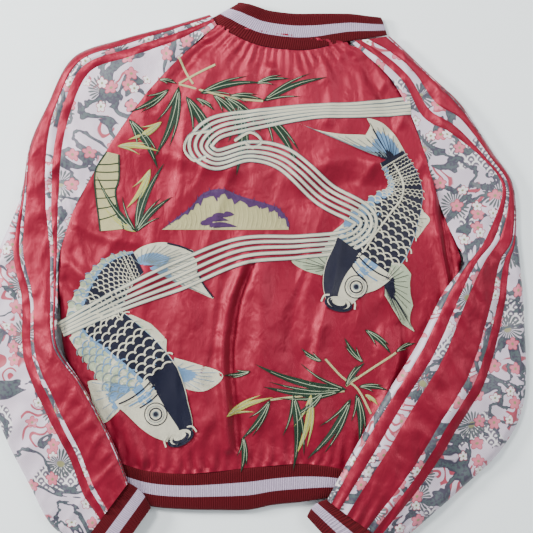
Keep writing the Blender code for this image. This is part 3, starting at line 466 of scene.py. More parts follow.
def jacquard_look(name, tones):
    """Woven figures: blossoms, chrysanthemums, branches, waves and scales over a twill ground."""
    look = Look(name, 0.5, Metallic=0.08, Sheen_Weight=0.2)
    where = look.place((1, 1, 0.35))
    across, along = look.parts(where)
    warp = look.noise(where, 60.0, 2.0)
    drift = look.node("ShaderNodeTexNoise", {"Vector": where, "Scale": 0.03, "Detail": 1.0}, "Color")
    drift = look.node("ShaderNodeVectorMath", [drift, (9.0, 9.0, 0.0)], operation="MULTIPLY")
    bent = look.node("ShaderNodeVectorMath", [where, drift], operation="ADD")
    ground = look.mix(((across + along) * 2.6).math("SINE") * 0.5 + 0.5, tones["shade"], tones["ground"])

    def flowers(size, petals, seed, chance):
        """(petals, centre, rim, distance, petal wave) of flowers in some of the cells of this size."""
        moved = look.node("ShaderNodeVectorMath", [bent, (seed, -seed, 0.0)], operation="ADD")
        cell = look.tree.nodes.new("ShaderNodeTexVoronoi")
        cell.voronoi_dimensions = "2D"
        look.plug(cell.inputs["Vector"], moved)
        cell.inputs["Scale"].default_value = 1 / size
        cell.inputs["Randomness"].default_value = 0.75
        far = Wire(look, cell.outputs["Distance"]) * size
        centre = Wire(look, cell.outputs["Position"])
        out = look.node("ShaderNodeVectorMath", [moved, centre], operation="SUBTRACT")
        dx, dy = look.parts(out)
        spread = (dx.math("ARCTAN2", dy) * (petals / 2)).math("COSINE").math("ABSOLUTE")
        edge = size * 0.2 + spread * (size * 0.14)
        lucky = look.parts(Wire(look, cell.outputs["Color"]))[0].step(chance, chance + 0.01)
        return ((far - edge).step(0.3, -0.3) * lucky, far.step(size * 0.09, size * 0.06) * lucky,
                (far - edge).math("ABSOLUTE").step(0.8, 0.3) * lucky, far, spread)

    branch = (look.noise(where, 78.0, 3.0, 1.3) - 0.5).math("ABSOLUTE")
    patch = look.noise(where, 75.0, 1.0)
    rows = along / 9.0
    fx = (across / 14.0 + rows.math("FLOOR") * 0.5).math("FRACT") - 0.5
    fy = rows.math("FRACT")
    arc = ((fx * fx * 4 + fy * fy) ** 0.5 * 9.0).math("SINE") * 0.5 + 0.5
    swirl = ((look.noise(where, 50.0, 1.0) * 60).math("SINE")).step(0.45, 0.6)
    result = look.mix(patch.step(0.53, 0.545) * swirl, ground, tones["crimson"])
    scaly = patch.step(0.37, 0.355)
    result = look.mix(scaly * 0.85, result, look.mix(arc.step(0.5, 0.6), tones["navy"], tones["white"]))
    big = flowers(62.0, 22.0, 300.0, 0.45)
    result = look.mix(big[0] * big[4].step(0.45, 0.6), result, tones["grey"])
    result = look.mix(big[1], result, tones["olive"])
    barked = look.mix(look.noise(where, 4.0, 2.0).step(0.45, 0.62), tones["bark"], tones["navy"])
    result = look.mix(branch.step(0.036, 0.032), result, tones["navy"])
    result = look.mix(branch.step(0.025, 0.021), result, barked)
    for size, seed, petal, chance in ((27.0, 0.0, tones["pink"], 0.62), (22.0, 777.0, tones["white"], 0.80)):
        shown, centre, rim, far, spread = flowers(size, 5.0, seed, chance)
        near = branch.step(0.17, 0.14)
        result = look.mix(shown * near, result, petal)
        result = look.mix(rim * near, result, tones["crimson"])
        result = look.mix(centre * near, result, tones["olive"])
    twill = ((across - along) * 3.2).math("SINE") * 0.4 + look.noise(where, 0.7)
    folds = look.noise(look.place((1, 0.5, 1)), 11.0, 3.0, 0.5)
    return look.done(look.mix(warp * 0.18, result, tones["shade"]),
                     look.bump(folds * 1.1 + twill * 0.04, 0.9, 0.5))


def thread_look(name, colour, other):
    """Satin stitch: fine parallel threads with a soft sheen, lying along the piece's own weave, with painted
    shade in the darker gaps between the threads.
    """
    look = Look(name, 0.5, Anisotropic=0.4, Specular_IOR_Level=0.28)
    across, along = look.weave()
    threads = (across * 13.0 + look.noise(look.place(), 5.0) * 5).math("SINE") * 0.5 + 0.5
    drift = look.noise(look.place(), 6.0, 3.0)
    # Painted shade: the darker other colour fills the gaps between threads, where shade between the strands
    # would fall; drift adds random tone.
    return look.done(look.mix(threads * 0.5 + drift * 0.4, other, colour),
                     look.bump(threads + drift * 0.5, 0.25, 0.8))


def metal_look(name, colour):
    """Nickelled metal, worn here and there."""
    look = Look(name, 0.35, Metallic=1.0)
    wear = look.noise(look.place(), 1.4, 4.0)
    return look.done(look.mix(wear, tuple(c * 0.75 for c in colour), colour), look.bump(wear, 0.05, 0.4),
                     wear * 0.2 + 0.26)


def tape_look(name, colour, lighter):
    """Woven tape with a fine twill."""
    look = Look(name, 0.8)
    across, along = look.parts(look.place())
    twill = ((across + along) * 5.0).math("SINE") * 0.5 + 0.5
    return look.done(look.mix(twill, colour, lighter), look.bump(twill, 0.2, 0.6))


def floor_look(name, colour):
    """A pale, matt table top."""
    look = Look(name, 0.9, Specular_IOR_Level=0.2)
    grain = look.noise(look.place(), 120.0, 3.0)
    return look.done(look.mix(grain, tuple(c * 0.97 for c in colour), colour))


LOOKS = {}


def make_looks():
    """Every material, under the name that the pieces ask for."""
    chosen = bpy.context.scene.jacket_looks
    colour = {key: tint(getattr(chosen, key)) for key in JacketLooks.__annotations__}
    dark = {key: tuple(c * 0.6 for c in value) for key, value in colour.items()}
    LOOKS.update(
        satin=satin("red_satin", colour["satin"], colour["satin_shade"]),
        navy=satin("navy_satin", colour["lining"], dark["lining"], 0.2),
        rib=rib_look("rib_knit", colour["rib"], colour["stripe"], 0.34, 0.66),
        jacquard=jacquard_look("woven_jacquard", {
            "ground": colour["ground"], "shade": tint((0.72, 0.66, 0.72)),
            "crimson": tint((0.62, 0.16, 0.24)), "navy": colour["navy_thread"],
            "white": tint((0.86, 0.85, 0.84)), "bark": tint((0.18, 0.27, 0.27)),
            "pink": tint((0.80, 0.40, 0.47)), "olive": tint((0.50, 0.50, 0.30)),
            "grey": tint((0.22, 0.28, 0.27))}),
        # Each stitch's second colour is a darker copy of its thread, painted as the shade between the
        # threads.
        cream=thread_look("cream_stitch", colour["cream_thread"], tint((0.74, 0.73, 0.64))),
        pale=thread_look("pale_blue_stitch", colour["blue_thread"], tint((0.38, 0.52, 0.64))),
        navy_thread=thread_look("navy_stitch", colour["navy_thread"], tint((0.05, 0.06, 0.13))),
        grey_thread=thread_look("grey_stitch", tint((0.50, 0.55, 0.56)), tint((0.40, 0.46, 0.47))),
        leaf=thread_look("leaf_stitch", colour["leaf_thread"], tint((0.07, 0.15, 0.11))),
        lime=thread_look("lime_stitch", tint((0.74, 0.73, 0.38)), tint((0.62, 0.62, 0.30))),
        khaki=thread_look("khaki_stitch", tint((0.76, 0.73, 0.54)), tint((0.64, 0.62, 0.44))),
        purple=thread_look("purple_stitch", tint((0.34, 0.20, 0.40)), tint((0.24, 0.14, 0.30))),
        sage=thread_look("sage_stitch", tint((0.72, 0.76, 0.64)), tint((0.60, 0.65, 0.54))),
        metal=metal_look("nickelled_brass", tint((0.80, 0.78, 0.73))),
        tape=tape_look("zip_tape_weave", tint((0.16, 0.15, 0.18)), tint((0.24, 0.23, 0.27))),
        label=tape_look("label_weave", tint((0.86, 0.85, 0.82)), tint((0.92, 0.91, 0.89))),
        floor=floor_look("pale_table", colour["table"]),
    )


class Cloth:
    """Grids of points that become one mesh."""

    def __init__(self):
        self.bm = bmesh.new()
        self.uv = self.bm.loops.layers.uv.new("Weave")
        self.depth = self.bm.verts.layers.float.new("depth")

    def add(self, points, keep=None, flip=False):
        """A grid of points [rows, columns, 3] in drawn millimetres; keep marks the vertices that stay."""
        points = np.asarray(points, float)
        rows, columns = points.shape[:2]
        made = bmesh.ops.create_grid(self.bm, x_segments=columns - 1, y_segments=rows - 1, size=0.5)["verts"]
        flat = points.reshape(-1, 3)
        number = {vertex: i for i, vertex in enumerate(made)}
        span = np.linalg.norm(np.diff(points, axis=1), axis=2)
        across = np.hstack([np.zeros((rows, 1)), np.cumsum(span, axis=1)]).ravel()
        tall = np.linalg.norm(np.diff(points, axis=0), axis=2)
        along = np.vstack([np.zeros((1, columns)), np.cumsum(tall, axis=0)]).ravel()
        share = np.repeat(np.linspace(0, 1, rows), columns)
        for i, vertex in enumerate(made):
            x, y, z = flat[i]
            vertex.co = ((x + HOME.x) * MM, (y + HOME.y) * MM, z * MM)
            vertex[self.depth] = share[i]
        faces = {face for vertex in made for face in vertex.link_faces}
        for face in faces:
            for loop in face.loops:
                i = number[loop.vert]
                loop[self.uv].uv = (across[i] * MM, along[i] * MM)
        if flip:
            bmesh.ops.reverse_faces(self.bm, faces=list(faces))
        if keep is not None:
            lost = [f for f in faces if not any(keep[number[v]] for v in f.verts)]
            bmesh.ops.delete(self.bm, geom=lost, context="FACES")

    def finish(self, name, look, body="jacket", replaces=(), bend=None):
        """The piece itself, riding on its body, or left unparented when a bend is given."""
        mesh = bpy.data.meshes.new(name)
        self.bm.to_mesh(mesh)
        self.bm.free()
        mesh.polygons.foreach_set("use_smooth", [True] * len(mesh.polygons))
        obj = bpy.data.objects.new(name, mesh)
        bpy.context.scene.collection.objects.link(obj)
        mesh.materials.append(LOOKS[look])
        if replaces:
            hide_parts(*replaces)
        if bend:
            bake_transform(obj)
        else:
            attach(obj, body)
        return obj


def inside(points, outline):
    """Which of the points lie inside a closed outline."""
    x, y = np.asarray(points, float)[:, :2].T
    ring = np.asarray(outline, float)
    odd = np.zeros(len(x), bool)
    for (x0, y0), (x1, y1) in zip(ring, np.roll(ring, -1, axis=0)):
        if y0 == y1:
            continue
        crosses = (y0 > y) != (y1 > y)
        odd ^= crosses & (x < x0 + (y - y0) * (x1 - x0) / (y1 - y0))
    return odd


def nearest(points, outline):
    """Each point moved to the closest place on a closed outline."""
    points, ring = np.asarray(points, float)[:, :2], np.asarray(outline, float)
    best, found = np.full(len(points), 1e9), points.copy()
    for a, b in zip(ring, np.roll(ring, -1, axis=0)):
        along = b - a
        share = np.clip(((points - a) @ along) / max(along @ along, 1e-9), 0, 1)
        on = a + share[:, None] * along
        far = np.linalg.norm(points - on, axis=1)
        closer = far < best
        best[closer], found[closer] = far[closer], on[closer]
    return found


def fill(cloth, outline, cell, height, flip=False):
    """Cloth over a closed outline, at the height that a function gives, its edge on the outline."""
    ring = np.asarray(outline, float)
    low, high = ring.min(0) - cell, ring.max(0) + cell
    columns, rows = (int(n) for n in np.ceil((high - low) / cell) + 1)
    x, y = np.meshgrid(np.linspace(low[0], high[0], columns), np.linspace(low[1], high[1], rows))
    flat = np.stack([x.ravel(), y.ravel()], axis=1)
    keep = inside(flat, ring)
    moved = flat.copy()
    moved[~keep] = nearest(flat[~keep], ring)
    points = np.column_stack([moved, height(moved)])
    cloth.add(points.reshape(rows, columns, 3), keep, flip)


def front_height(points):
    """The underside of the body, which rests on the table."""
    return round_sides(points, 1.3 + 0.5 * waves(points, 45, 21.0))


def curve(*parts, steps=5):
    """A closed outline from runs of points, each smoothed and joined to the next at a corner."""
    return np.vstack([smooth(part, steps)[:-1] for part in parts if len(part) > 1])


BACK_OUTLINE = (NECK_BACK[::-1], RAGLAN_LEFT, SIDE_LEFT, HEM_SEAM, SIDE_RIGHT[::-1],
                RAGLAN_RIGHT[::-1])
ZIP_GAP = 3.0
ZIP_WAY = (ZIP_BOTTOM - ZIP_TOP).normalized()
ZIP_SIDE = Vector((-ZIP_WAY.y, ZIP_WAY.x))


def body_cloth(name, nodes, outline, height, look,
               cell=4.0, flip=False, lift=0.0):
    """One sheet of the body, filled over its outline."""
    cloth = Cloth()
    fill(cloth, outline, cell, lambda points: height(points) + lift, flip)
    obj = cloth.finish(name, look, replaces=nodes)
    return obj


def under_back(points):
    """The lining's height, a little under the back's hollows."""
    return np.minimum(back_height(points), BACK_TOP) - LINING_GAP


def build_back():
    """The back and its lining."""
    outline = curve(*BACK_OUTLINE)
    body_cloth("back_cloth", ["back_panel"], outline, back_height, "satin",
               cell=3.2)
    body_cloth("back_lining_cloth", ["back_lining"], shrunk(outline, LINING_INSET), under_back,
               "navy",
               cell=6.0)


def shrunk(outline, distance):
    """A closed outline with every point moved towards its inside by a distance."""
    ring = np.asarray(outline, float)
    along = np.roll(ring, -1, axis=0) - np.roll(ring, 1, axis=0)
    along /= np.linalg.norm(along, axis=1)[:, None] + 1e-9
    inward = np.stack([-along[:, 1], along[:, 0]], axis=1)
    moved = ring + distance * inward
    if inside(moved, ring).mean() < 0.5:
        moved = ring - distance * inward
    return moved


HEM_LEVEL = -259.0
HEM_LEFT = [(-57, -263), (-105, -266), (-154, -262), (-196, -249)]
HEM_RIGHT = [(20, -255), (62, -252), (97, -255), (130, -260), (178, -255)]


def front_outline(side):
    """A front's outline: down the zip, along the hem, up the side and the raglan seam, round the neck."""
    left = side == "left"
    edge = ZIP_SIDE * (ZIP_GAP if left == (ZIP_SIDE.x < 0) else -ZIP_GAP)
    top, bottom = ZIP_TOP + edge, ZIP_BOTTOM + edge
    foot = top.lerp(bottom, (HEM_LEVEL - top.y) / (bottom.y - top.y))
    top, foot = tuple(top), tuple(foot)
    if left:
        return curve([top, foot], [foot, *HEM_LEFT], SIDE_LEFT[::-1], FRONT_RAGLAN_LEFT[::-1],
                     [(-43, 322), (-22, 300), (14, 284), top])
    return curve([top, foot], [foot, *HEM_RIGHT], SIDE_RIGHT[::-1], FRONT_RAGLAN_RIGHT[::-1],
                 [(125, 316), (100, 290), top])


def plan_of(node):
    """The corners of a flat CAD piece seen from above, in order round it, and its middle height."""
    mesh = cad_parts[node].data
    corners = {(round(v.co.x / MM - HOME.x, 2), round(v.co.y / MM - HOME.y, 2)) for v in mesh.vertices}
    centre = np.mean(list(corners), axis=0)
    ring = sorted(corners, key=lambda c: math.atan2(c[1] - centre[1], c[0] - centre[0]))
    low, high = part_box(node)
    return ring, (low.z + high.z) / 2 / MM


def build_fronts():
    """Both fronts, their linings and the pocket bags between."""
    for side, flat in (("left", (0.33, 0.59)), ("right", (0.29, 0.58))):
        outline = front_outline(side)
        body_cloth(f"front_cloth_{side}", [f"front_panel_{side}"], outline, front_height, "satin",
                   flip=True)
        body_cloth(f"front_lining_cloth_{side}", [f"front_lining_{side}"],
                   shrunk(outline, LINING_INSET), front_height, "navy",
                   cell=7.0, lift=LINING_GAP)
        bag, level = plan_of(f"pocket_bag_{side}")
        body_cloth(f"pocket_bag_cloth_{side}", [f"pocket_bag_{side}"],
                   curve(*[[a, b] for a, b in zip(bag, bag[1:] + bag[:1])]),
                   lambda p: level + 0.8 * waves(p, 24, 3.0), "navy",
                   cell=6.0)


STRIPS = [("back_panel", "jacquard", 6), ("inner_tape", "satin", 4), ("inner_inset", "jacquard", 4),
          ("satin", "satin", 9), ("outer_inset", "jacquard", 4), ("outer_tape", "satin", 4),
          ("outer_panel", "jacquard", 11)]
SEAM_STEPS = 14
ELBOW = 8 * SEAM_STEPS
UNDER_STEPS = 24
# What the strips are called in the frame, above and below the elbow.
UPPER_STRIPS = {"back_panel": "back_panel", "inner_tape": "tape", "inner_inset": "inset", "satin": "satin"}
FOREARM_STRIPS = {
    "left": {"satin": "satin", "outer_inset": "inset", "outer_tape": "tape", "outer_panel": "outer_panel"},
    "right": {"back_panel": "inner_panel", "inner_tape": "inner_tape", "inner_inset": "inner_inset",
              "satin": "satin", "outer_inset": "outer_inset", "outer_tape": "outer_tape",
              "outer_panel": "outer_panel"},
}


def sleeve_seams(arm):
    """The eight seams of a sleeve's top from its inner edge outwards, each from shoulder to cuff."""
    seams = []
    for k in range(8):
        points = []
        for i, (a, b) in enumerate(zip(arm.upper[3], arm.upper[4])):
            share = arm.outer_shares[i][k - 4] if 4 <= k <= 6 else 1.0
            points.append(arm.upper[k][i] if k <= 3 else tuple(Vector(a).lerp(Vector(b), share)))
        for a, b, shares in zip(arm.inner, arm.outer, arm.shares):
            points.append(tuple(Vector(a).lerp(Vector(b), (0.0, *shares, 1.0)[k])))
        seams.append(smooth(points, SEAM_STEPS))
    return seams


def between(seams, counts):
    """Points [rows, columns, 2] from seam to seam, with this many steps in each strip."""
    columns = []
    for a, b, count in zip(seams, seams[1:], counts):
        columns += [a + (b - a) * (i / count) for i in range(count)]
    return np.stack(columns + [seams[-1]], axis=1)


def sleeve_heights(side, plan, upper, lower, down):
    """Heights of a sleeve's top or underside at the points, before its edges are rounded."""
    nodes = [f"{side}_upper_{n}" for n in upper] + [f"{side}_forearm_{n}" for n in lower]
    flat = plan.reshape(-1, 2)
    world = [(x + HOME.x, y + HOME.y) for x, y in flat]
    return settle(surface(tall_of(nodes), world, down).reshape(plan.shape[:2]), 14)


def round_off(points, heights, edge, free):
    """Heights drawn in towards the edges' own height close to the free edges, and how much is kept."""
    far_out = np.linalg.norm(points - points[:, -1:], axis=2)
    far_in = np.linalg.norm(points - points[:, :1], axis=2)
    kept = rounded(far_out, SLEEVE_ROUND) * (1 - free + free * rounded(far_in, SLEEVE_ROUND))
    share = far_in / (far_in + far_out + 1e-6)
    level = edge[:, :1] * (1 - share) + edge[:, -1:] * share
    return level + (heights - level) * kept, kept


def sleeve_crumple(arm, plan):
    """Creases all over a sleeve's top, which turn into fine gathers at the cuff."""
    flat = plan.reshape(-1, 2)
    wrinkle = (2.2 * waves(flat, 34, arm.seed, 1.6, arm.lean) + 1.0 * waves(flat, 14, arm.seed + 3)
               + 3.0 * creases(flat, 34, arm.seed + 7, 3.2, arm.crease_way)).reshape(plan.shape[:2])
    rows = np.arange(len(plan))
    near_cuff = np.exp(-(rows[-1] - rows) / 7.0)[:, None]
    width = np.cumsum(np.linalg.norm(np.diff(plan, axis=1, prepend=plan[:, :1]), axis=2), axis=1)
    wrinkle *= bpy.context.scene.jacket_sizes.crumple * (1 - 0.6 * near_cuff)
    return (wrinkle + 2.0 * near_cuff * np.sin(width / 2.4)) * ease(rows / 10.0)[:, None]


def strip_nodes(side, name):
    """The CAD pieces that one strip of a sleeve stands for."""
    return ([f"{side}_upper_{UPPER_STRIPS[name]}"] if name in UPPER_STRIPS else []) + (
        [f"{side}_forearm_{FOREARM_STRIPS[side][name]}"] if name in FOREARM_STRIPS[side] else [])


SLEEVE_ROUND = 13.0
SEAM_DEPTH = 1.0
BEND_ABOVE, BEND_BELOW, BEND_HEIGHT = 22.0, 26.0, 0.03
LINING_SLACK = 2.6
LINING_NARROW = 0.08


def build_sleeve(side):
    """A sleeve: the strips of its top, its underside and its lining."""
    arm = SLEEVES[side]
    left = side == "left"
    seams = sleeve_seams(arm)
    counts = [steps for name, look, steps in STRIPS]
    plan = between(seams, counts)
    top = sleeve_heights(side, plan, UPPER_STRIPS.values(), FOREARM_STRIPS[side].values(), True)
    below = sleeve_heights(side, plan, ["front_panel"], ["under_panel"], False)
    edge = settle((top + below) / 2, 10)
    rows = np.arange(len(plan))
    free = ease((rows - ELBOW + 6) / 14)[:, None]
    shaped, kept = round_off(plan, top, edge, free)
    shaped = shaped + sleeve_crumple(arm, plan) * kept
    bounds = np.cumsum([0] + counts)
    for k in bounds[:-1]:
        shaped[:, k] -= SEAM_DEPTH * (1 - free[:, 0] if k == 0 else 1) * ease(rows / 8.0)
    shaped = np.maximum(shaped, LOWEST)

    inner = smooth(arm.front + arm.inner, SEAM_STEPS)
    under_plan = between([inner, seams[-1]], [UNDER_STEPS])
    under = sleeve_heights(side, under_plan, ["front_panel"], ["under_panel"], False)
    low, kept_low = round_off(under_plan, under, edge, free)
    sag = 0.8 * waves(under_plan.reshape(-1, 2), 30, arm.seed + 11)
    low = np.maximum(low + sag.reshape(low.shape) * kept_low, LOWEST)

    middle_x, fold_y = (arm.middle_x + HOME.x) * MM, arm.fold_y + HOME.y
    bend = ((middle_x, (fold_y + BEND_ABOVE) * MM, BEND_HEIGHT),
            (middle_x, (fold_y - BEND_BELOW) * MM, BEND_HEIGHT))
    body = f"{side}_lower_sleeve"
    points = np.dstack([plan, shaped])
    for k, (name, look, steps) in enumerate(STRIPS):
        cloth = Cloth()
        strip = points[:, bounds[k]:bounds[k + 1] + 1]
        cloth.add(strip, flip=left)
        piece = cloth.finish(f"{side}_sleeve_{name}", look, body, strip_nodes(side, name), bend=bend)

    cloth = Cloth()
    cloth.add(np.dstack([under_plan, low]), flip=not left)
    piece = cloth.finish(f"{side}_sleeve_under", "jacquard", body,
                         [f"{side}_upper_front_panel", f"{side}_forearm_under_panel"], bend=bend)

    cloth = Cloth()
    for heights, grid, share, sense in ((np.minimum(shaped, top), plan, kept, -1),
                                        (low, under_plan, kept_low, 1)):
        narrowed = grid + (grid.mean(axis=1, keepdims=True) - grid) * LINING_NARROW
        sheet = np.dstack([narrowed, settle(heights, 4) + sense * LINING_SLACK * share])
        cloth.add(sheet[2:-1:2, ::2], flip=(sense < 0) == (not left))
    piece = cloth.finish(f"{side}_sleeve_lining", "navy", body,
                         [f"{side}_upper_lining", f"{side}_forearm_lining"], bend=bend)


def ribbed(cloth, start, end, out, ribs, depth_rows=22, height=0.8, belly=1.2, flip=False):
    """Rib knit between two lines of points in space. out is the way it faces at each, ribs its rib count."""
    start, end, out = (np.asarray(a, float) for a in (start, end, out))
    share = np.linspace(0, 1, depth_rows)
    turn = np.linspace(0, ribs * 2 * math.pi, len(start))
    wave = np.sign(np.sin(turn)) * np.abs(np.sin(turn)) ** 0.7 * height
    points = start[None] + (end - start)[None] * share[:, None, None]
    dome = np.sqrt(np.clip(1 - (2 * share - 1) ** 6, 0, 1))[:, None]
    points = points + out[None] * ((wave[None] * (0.35 + 0.65 * dome) + belly * dome)[:, :, None])
    cloth.add(points, flip=flip)


def resample(line, count):
    """A line of points made into this many, evenly spaced."""
    line = np.asarray(line, float)
    far = np.concatenate([[0], np.cumsum(np.linalg.norm(np.diff(line, axis=0), axis=1))])
    where = np.linspace(0, far[-1], count)
    return np.column_stack([np.interp(where, far, line[:, k]) for k in range(line.shape[1])])


HEM_EDGE = [(-192, -298), (-146, -311), (-98, -315), (-57, -316), (-11, -316), (24, -309), (62, -305),
            (97, -300), (132, -296), (172, -290)]


# How the hem's lower edge turns under, from the edge on.
HEM_TURN = ((0, 0, 0), (0, -1.5, -1.6), (0, -0.8, -3.4), (0, 4.0, -4.5))
HEM_LENGTH = 380.0
HEM_ROUND = 9.0
SLIDER_ROOM = 5.0


def build_hem():
    """The hem rib: across the back, round both sides and along both fronts to the zip."""
    sizes = bpy.context.scene.jacket_sizes
    height = sizes.rib_height / MM
    cloth = Cloth()
    ribs = int(HEM_LENGTH / (sizes.rib_pitch / MM))
    count = ribs * 5
    a, b = resample(smooth(HEM_SEAM, 6), count), resample(smooth(HEM_EDGE, 6), count)
    far = np.minimum(np.linalg.norm(a - a[0], axis=1), np.linalg.norm(a - a[-1], axis=1))
    full = rounded(far, HEM_ROUND)
    low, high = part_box("zip_slider")
    beside = (high.x - low.x) / 2 / MM + SLIDER_ROOM
    waved = BACK_TOP - 0.9 + 0.8 * np.sin(np.linspace(0, 9, count))
    for base, sense, tuck in ((waved, 1, -0.8), (2.2 * np.ones(count), -1, 0.4)):
        level = MIDDLE + (base - MIDDLE) * full
        start = np.column_stack([a, level])
        end = np.column_stack([b, level + tuck])
        out = np.column_stack([np.zeros((count, 2)), sense * full])
        if sense > 0:
            ribbed(cloth, start, end, out, ribs, height=height, flip=True)
            cloth.add(np.stack([end + np.array(step) for step in HEM_TURN]), flip=True)
            continue
        share = (a[:, 1] - ZIP_TOP.y) / (ZIP_BOTTOM.y - ZIP_TOP.y)
        x = ZIP_TOP.x + (ZIP_BOTTOM.x - ZIP_TOP.x) * share
        for mask in (a[:, 0] < x - beside, a[:, 0] > x + beside):
            part = np.flatnonzero(mask)
            ribbed(cloth, start[part], end[part], out[part], ribs * len(part) / count,
                   height=height, belly=0.4)
    piece = cloth.finish("hem_rib_knit", "rib", replaces=["hem_rib"])


# The collar's seam line, anticlockwise round it: x, y, how far its top leans in x,
# the share of its depth that shows, and its height.
COLLAR = [
    (50, 284, 3, 0.85, 2.7), (14, 287, 14, 0.8, 2.7), (-20, 305, 24, 0.75, 2.7),
    (-41, 334, 28, 0.78, 2.7), (-64, 372, 38, 0.45, 9), (-53, 364, 42, 0.58, 16.5),
    (-32, 350, 36, 0.76, 18), (0, 336, 20, 0.94, 18), (43, 329, 10, 1.0, 18), (76, 329, 8, 1.0, 18),
    (108, 336, 4, 0.86, 18), (132, 341, 2, 0.75, 18), (160, 345, -4, 0.62, 16.5),
    (184, 350, -8, 0.5, 9), (160, 347, -12, 0.6, 2.7), (137, 344, -16, 0.65, 2.7),
    (121, 318, -18, 0.8, 2.7), (99, 293, -14, 0.8, 2.7), (62, 284, -3, 0.85, 2.7),
]
COLLAR_DEPTH = 50.0
COLLAR_LENGTH = 560.0
COLLAR_MIDDLE, COLLAR_REACH = 9.5, 8.5


def build_collar():
    """The collar's band, folded flat across the neck."""
    sizes = bpy.context.scene.jacket_sizes
    line = smooth([(x, y, z) for x, y, lean, share, z in COLLAR], 10)
    tops = smooth([(x + lean, y + COLLAR_DEPTH * share, z) for x, y, lean, share, z in COLLAR], 10)
    ribs = int(COLLAR_LENGTH / (sizes.rib_pitch / MM))
    far = np.concatenate([[0], np.cumsum(np.linalg.norm(np.diff((line + tops) / 2, axis=0), axis=1))])
    where = np.linspace(0, far[-1], ribs * 5)
    start, end = (np.column_stack([np.interp(where, far, p[:, k]) for k in range(3)]) for p in (line, tops))
    level = (start[:, 2] - COLLAR_MIDDLE) / COLLAR_REACH
    side = np.gradient(start[:, :2], axis=0)
    side /= np.linalg.norm(side, axis=1)[:, None] + 1e-9
    steep = np.sqrt(np.clip(1 - level ** 2, 0, 1))
    out = np.column_stack([side[:, 1] * steep, -side[:, 0] * steep, level])
    cloth = Cloth()
    ribbed(cloth, start, end, out, ribs, height=sizes.rib_height / MM, belly=1.4)
    piece = cloth.finish("collar_rib_knit", "rib", replaces=["collar_rib"])


CUFFS = {"left": ([(-178, -277), (-246, -368)], [(-146, -312), (-207, -397)]),
         "right": ([(99, -300), (195, -370)], [(70, -325), (142, -402)])}
CUFF_ROWS = 24


def build_cuff(side):
    """A cuff: a flat ring of rib knit from the sleeve's end to the wrist, turned in at its mouth."""
    sizes = bpy.context.scene.jacket_sizes
    seam, wrist = (np.asarray(pair, float) for pair in CUFFS[side])
    tree = tall_of([f"{side}_cuff_rib"])
    ribs = int(2 * np.linalg.norm(seam[1] - seam[0]) / (sizes.rib_pitch / MM))
    turn = np.linspace(0, 2 * math.pi, ribs * 5)
    reach = np.sign(np.cos(turn)) * np.abs(np.cos(turn)) ** 0.75
    rise = np.sign(np.sin(turn)) * np.abs(np.sin(turn)) ** 0.75
    wave = np.sin(turn * ribs) * sizes.rib_height / MM
    rings = []
    for share in np.linspace(0, 1, CUFF_ROWS):
        a, b = seam + (wrist - seam) * share
        middle, half = (a + b) / 2, (b - a) / 2
        at = [(middle[0] + HOME.x, middle[1] + HOME.y)]
        top, bottom = surface(tree, at, True)[0], surface(tree, at, False)[0]
        thick = max((top - bottom) / 2 - 1.0, 3.0)
        swell = 1 + 0.10 * math.sin(math.pi * share) - 0.04 * share
        rings.append(np.column_stack([
            middle[0] + half[0] * reach * swell, middle[1] + half[1] * reach * swell,
            (top + bottom) / 2 + (thick * swell + wave) * rise]))
    cloth = Cloth()
    cloth.add(np.stack(rings), flip=side == "left")
    mouth = rings[-1]
    centre = mouth.mean(0)
    inwards = np.append(seam.mean(0) - wrist.mean(0), 0)
    cloth.add(np.stack([centre + (mouth - centre) * size + inwards * depth
                        for depth, size in ((0.0, 1.0), (0.05, 0.93), (0.25, 0.90), (0.6, 0.88))]),
              flip=side == "left")
    piece = cloth.finish(f"{side}_cuff_knit", "rib", f"{side}_lower_sleeve", [f"{side}_cuff_rib"])


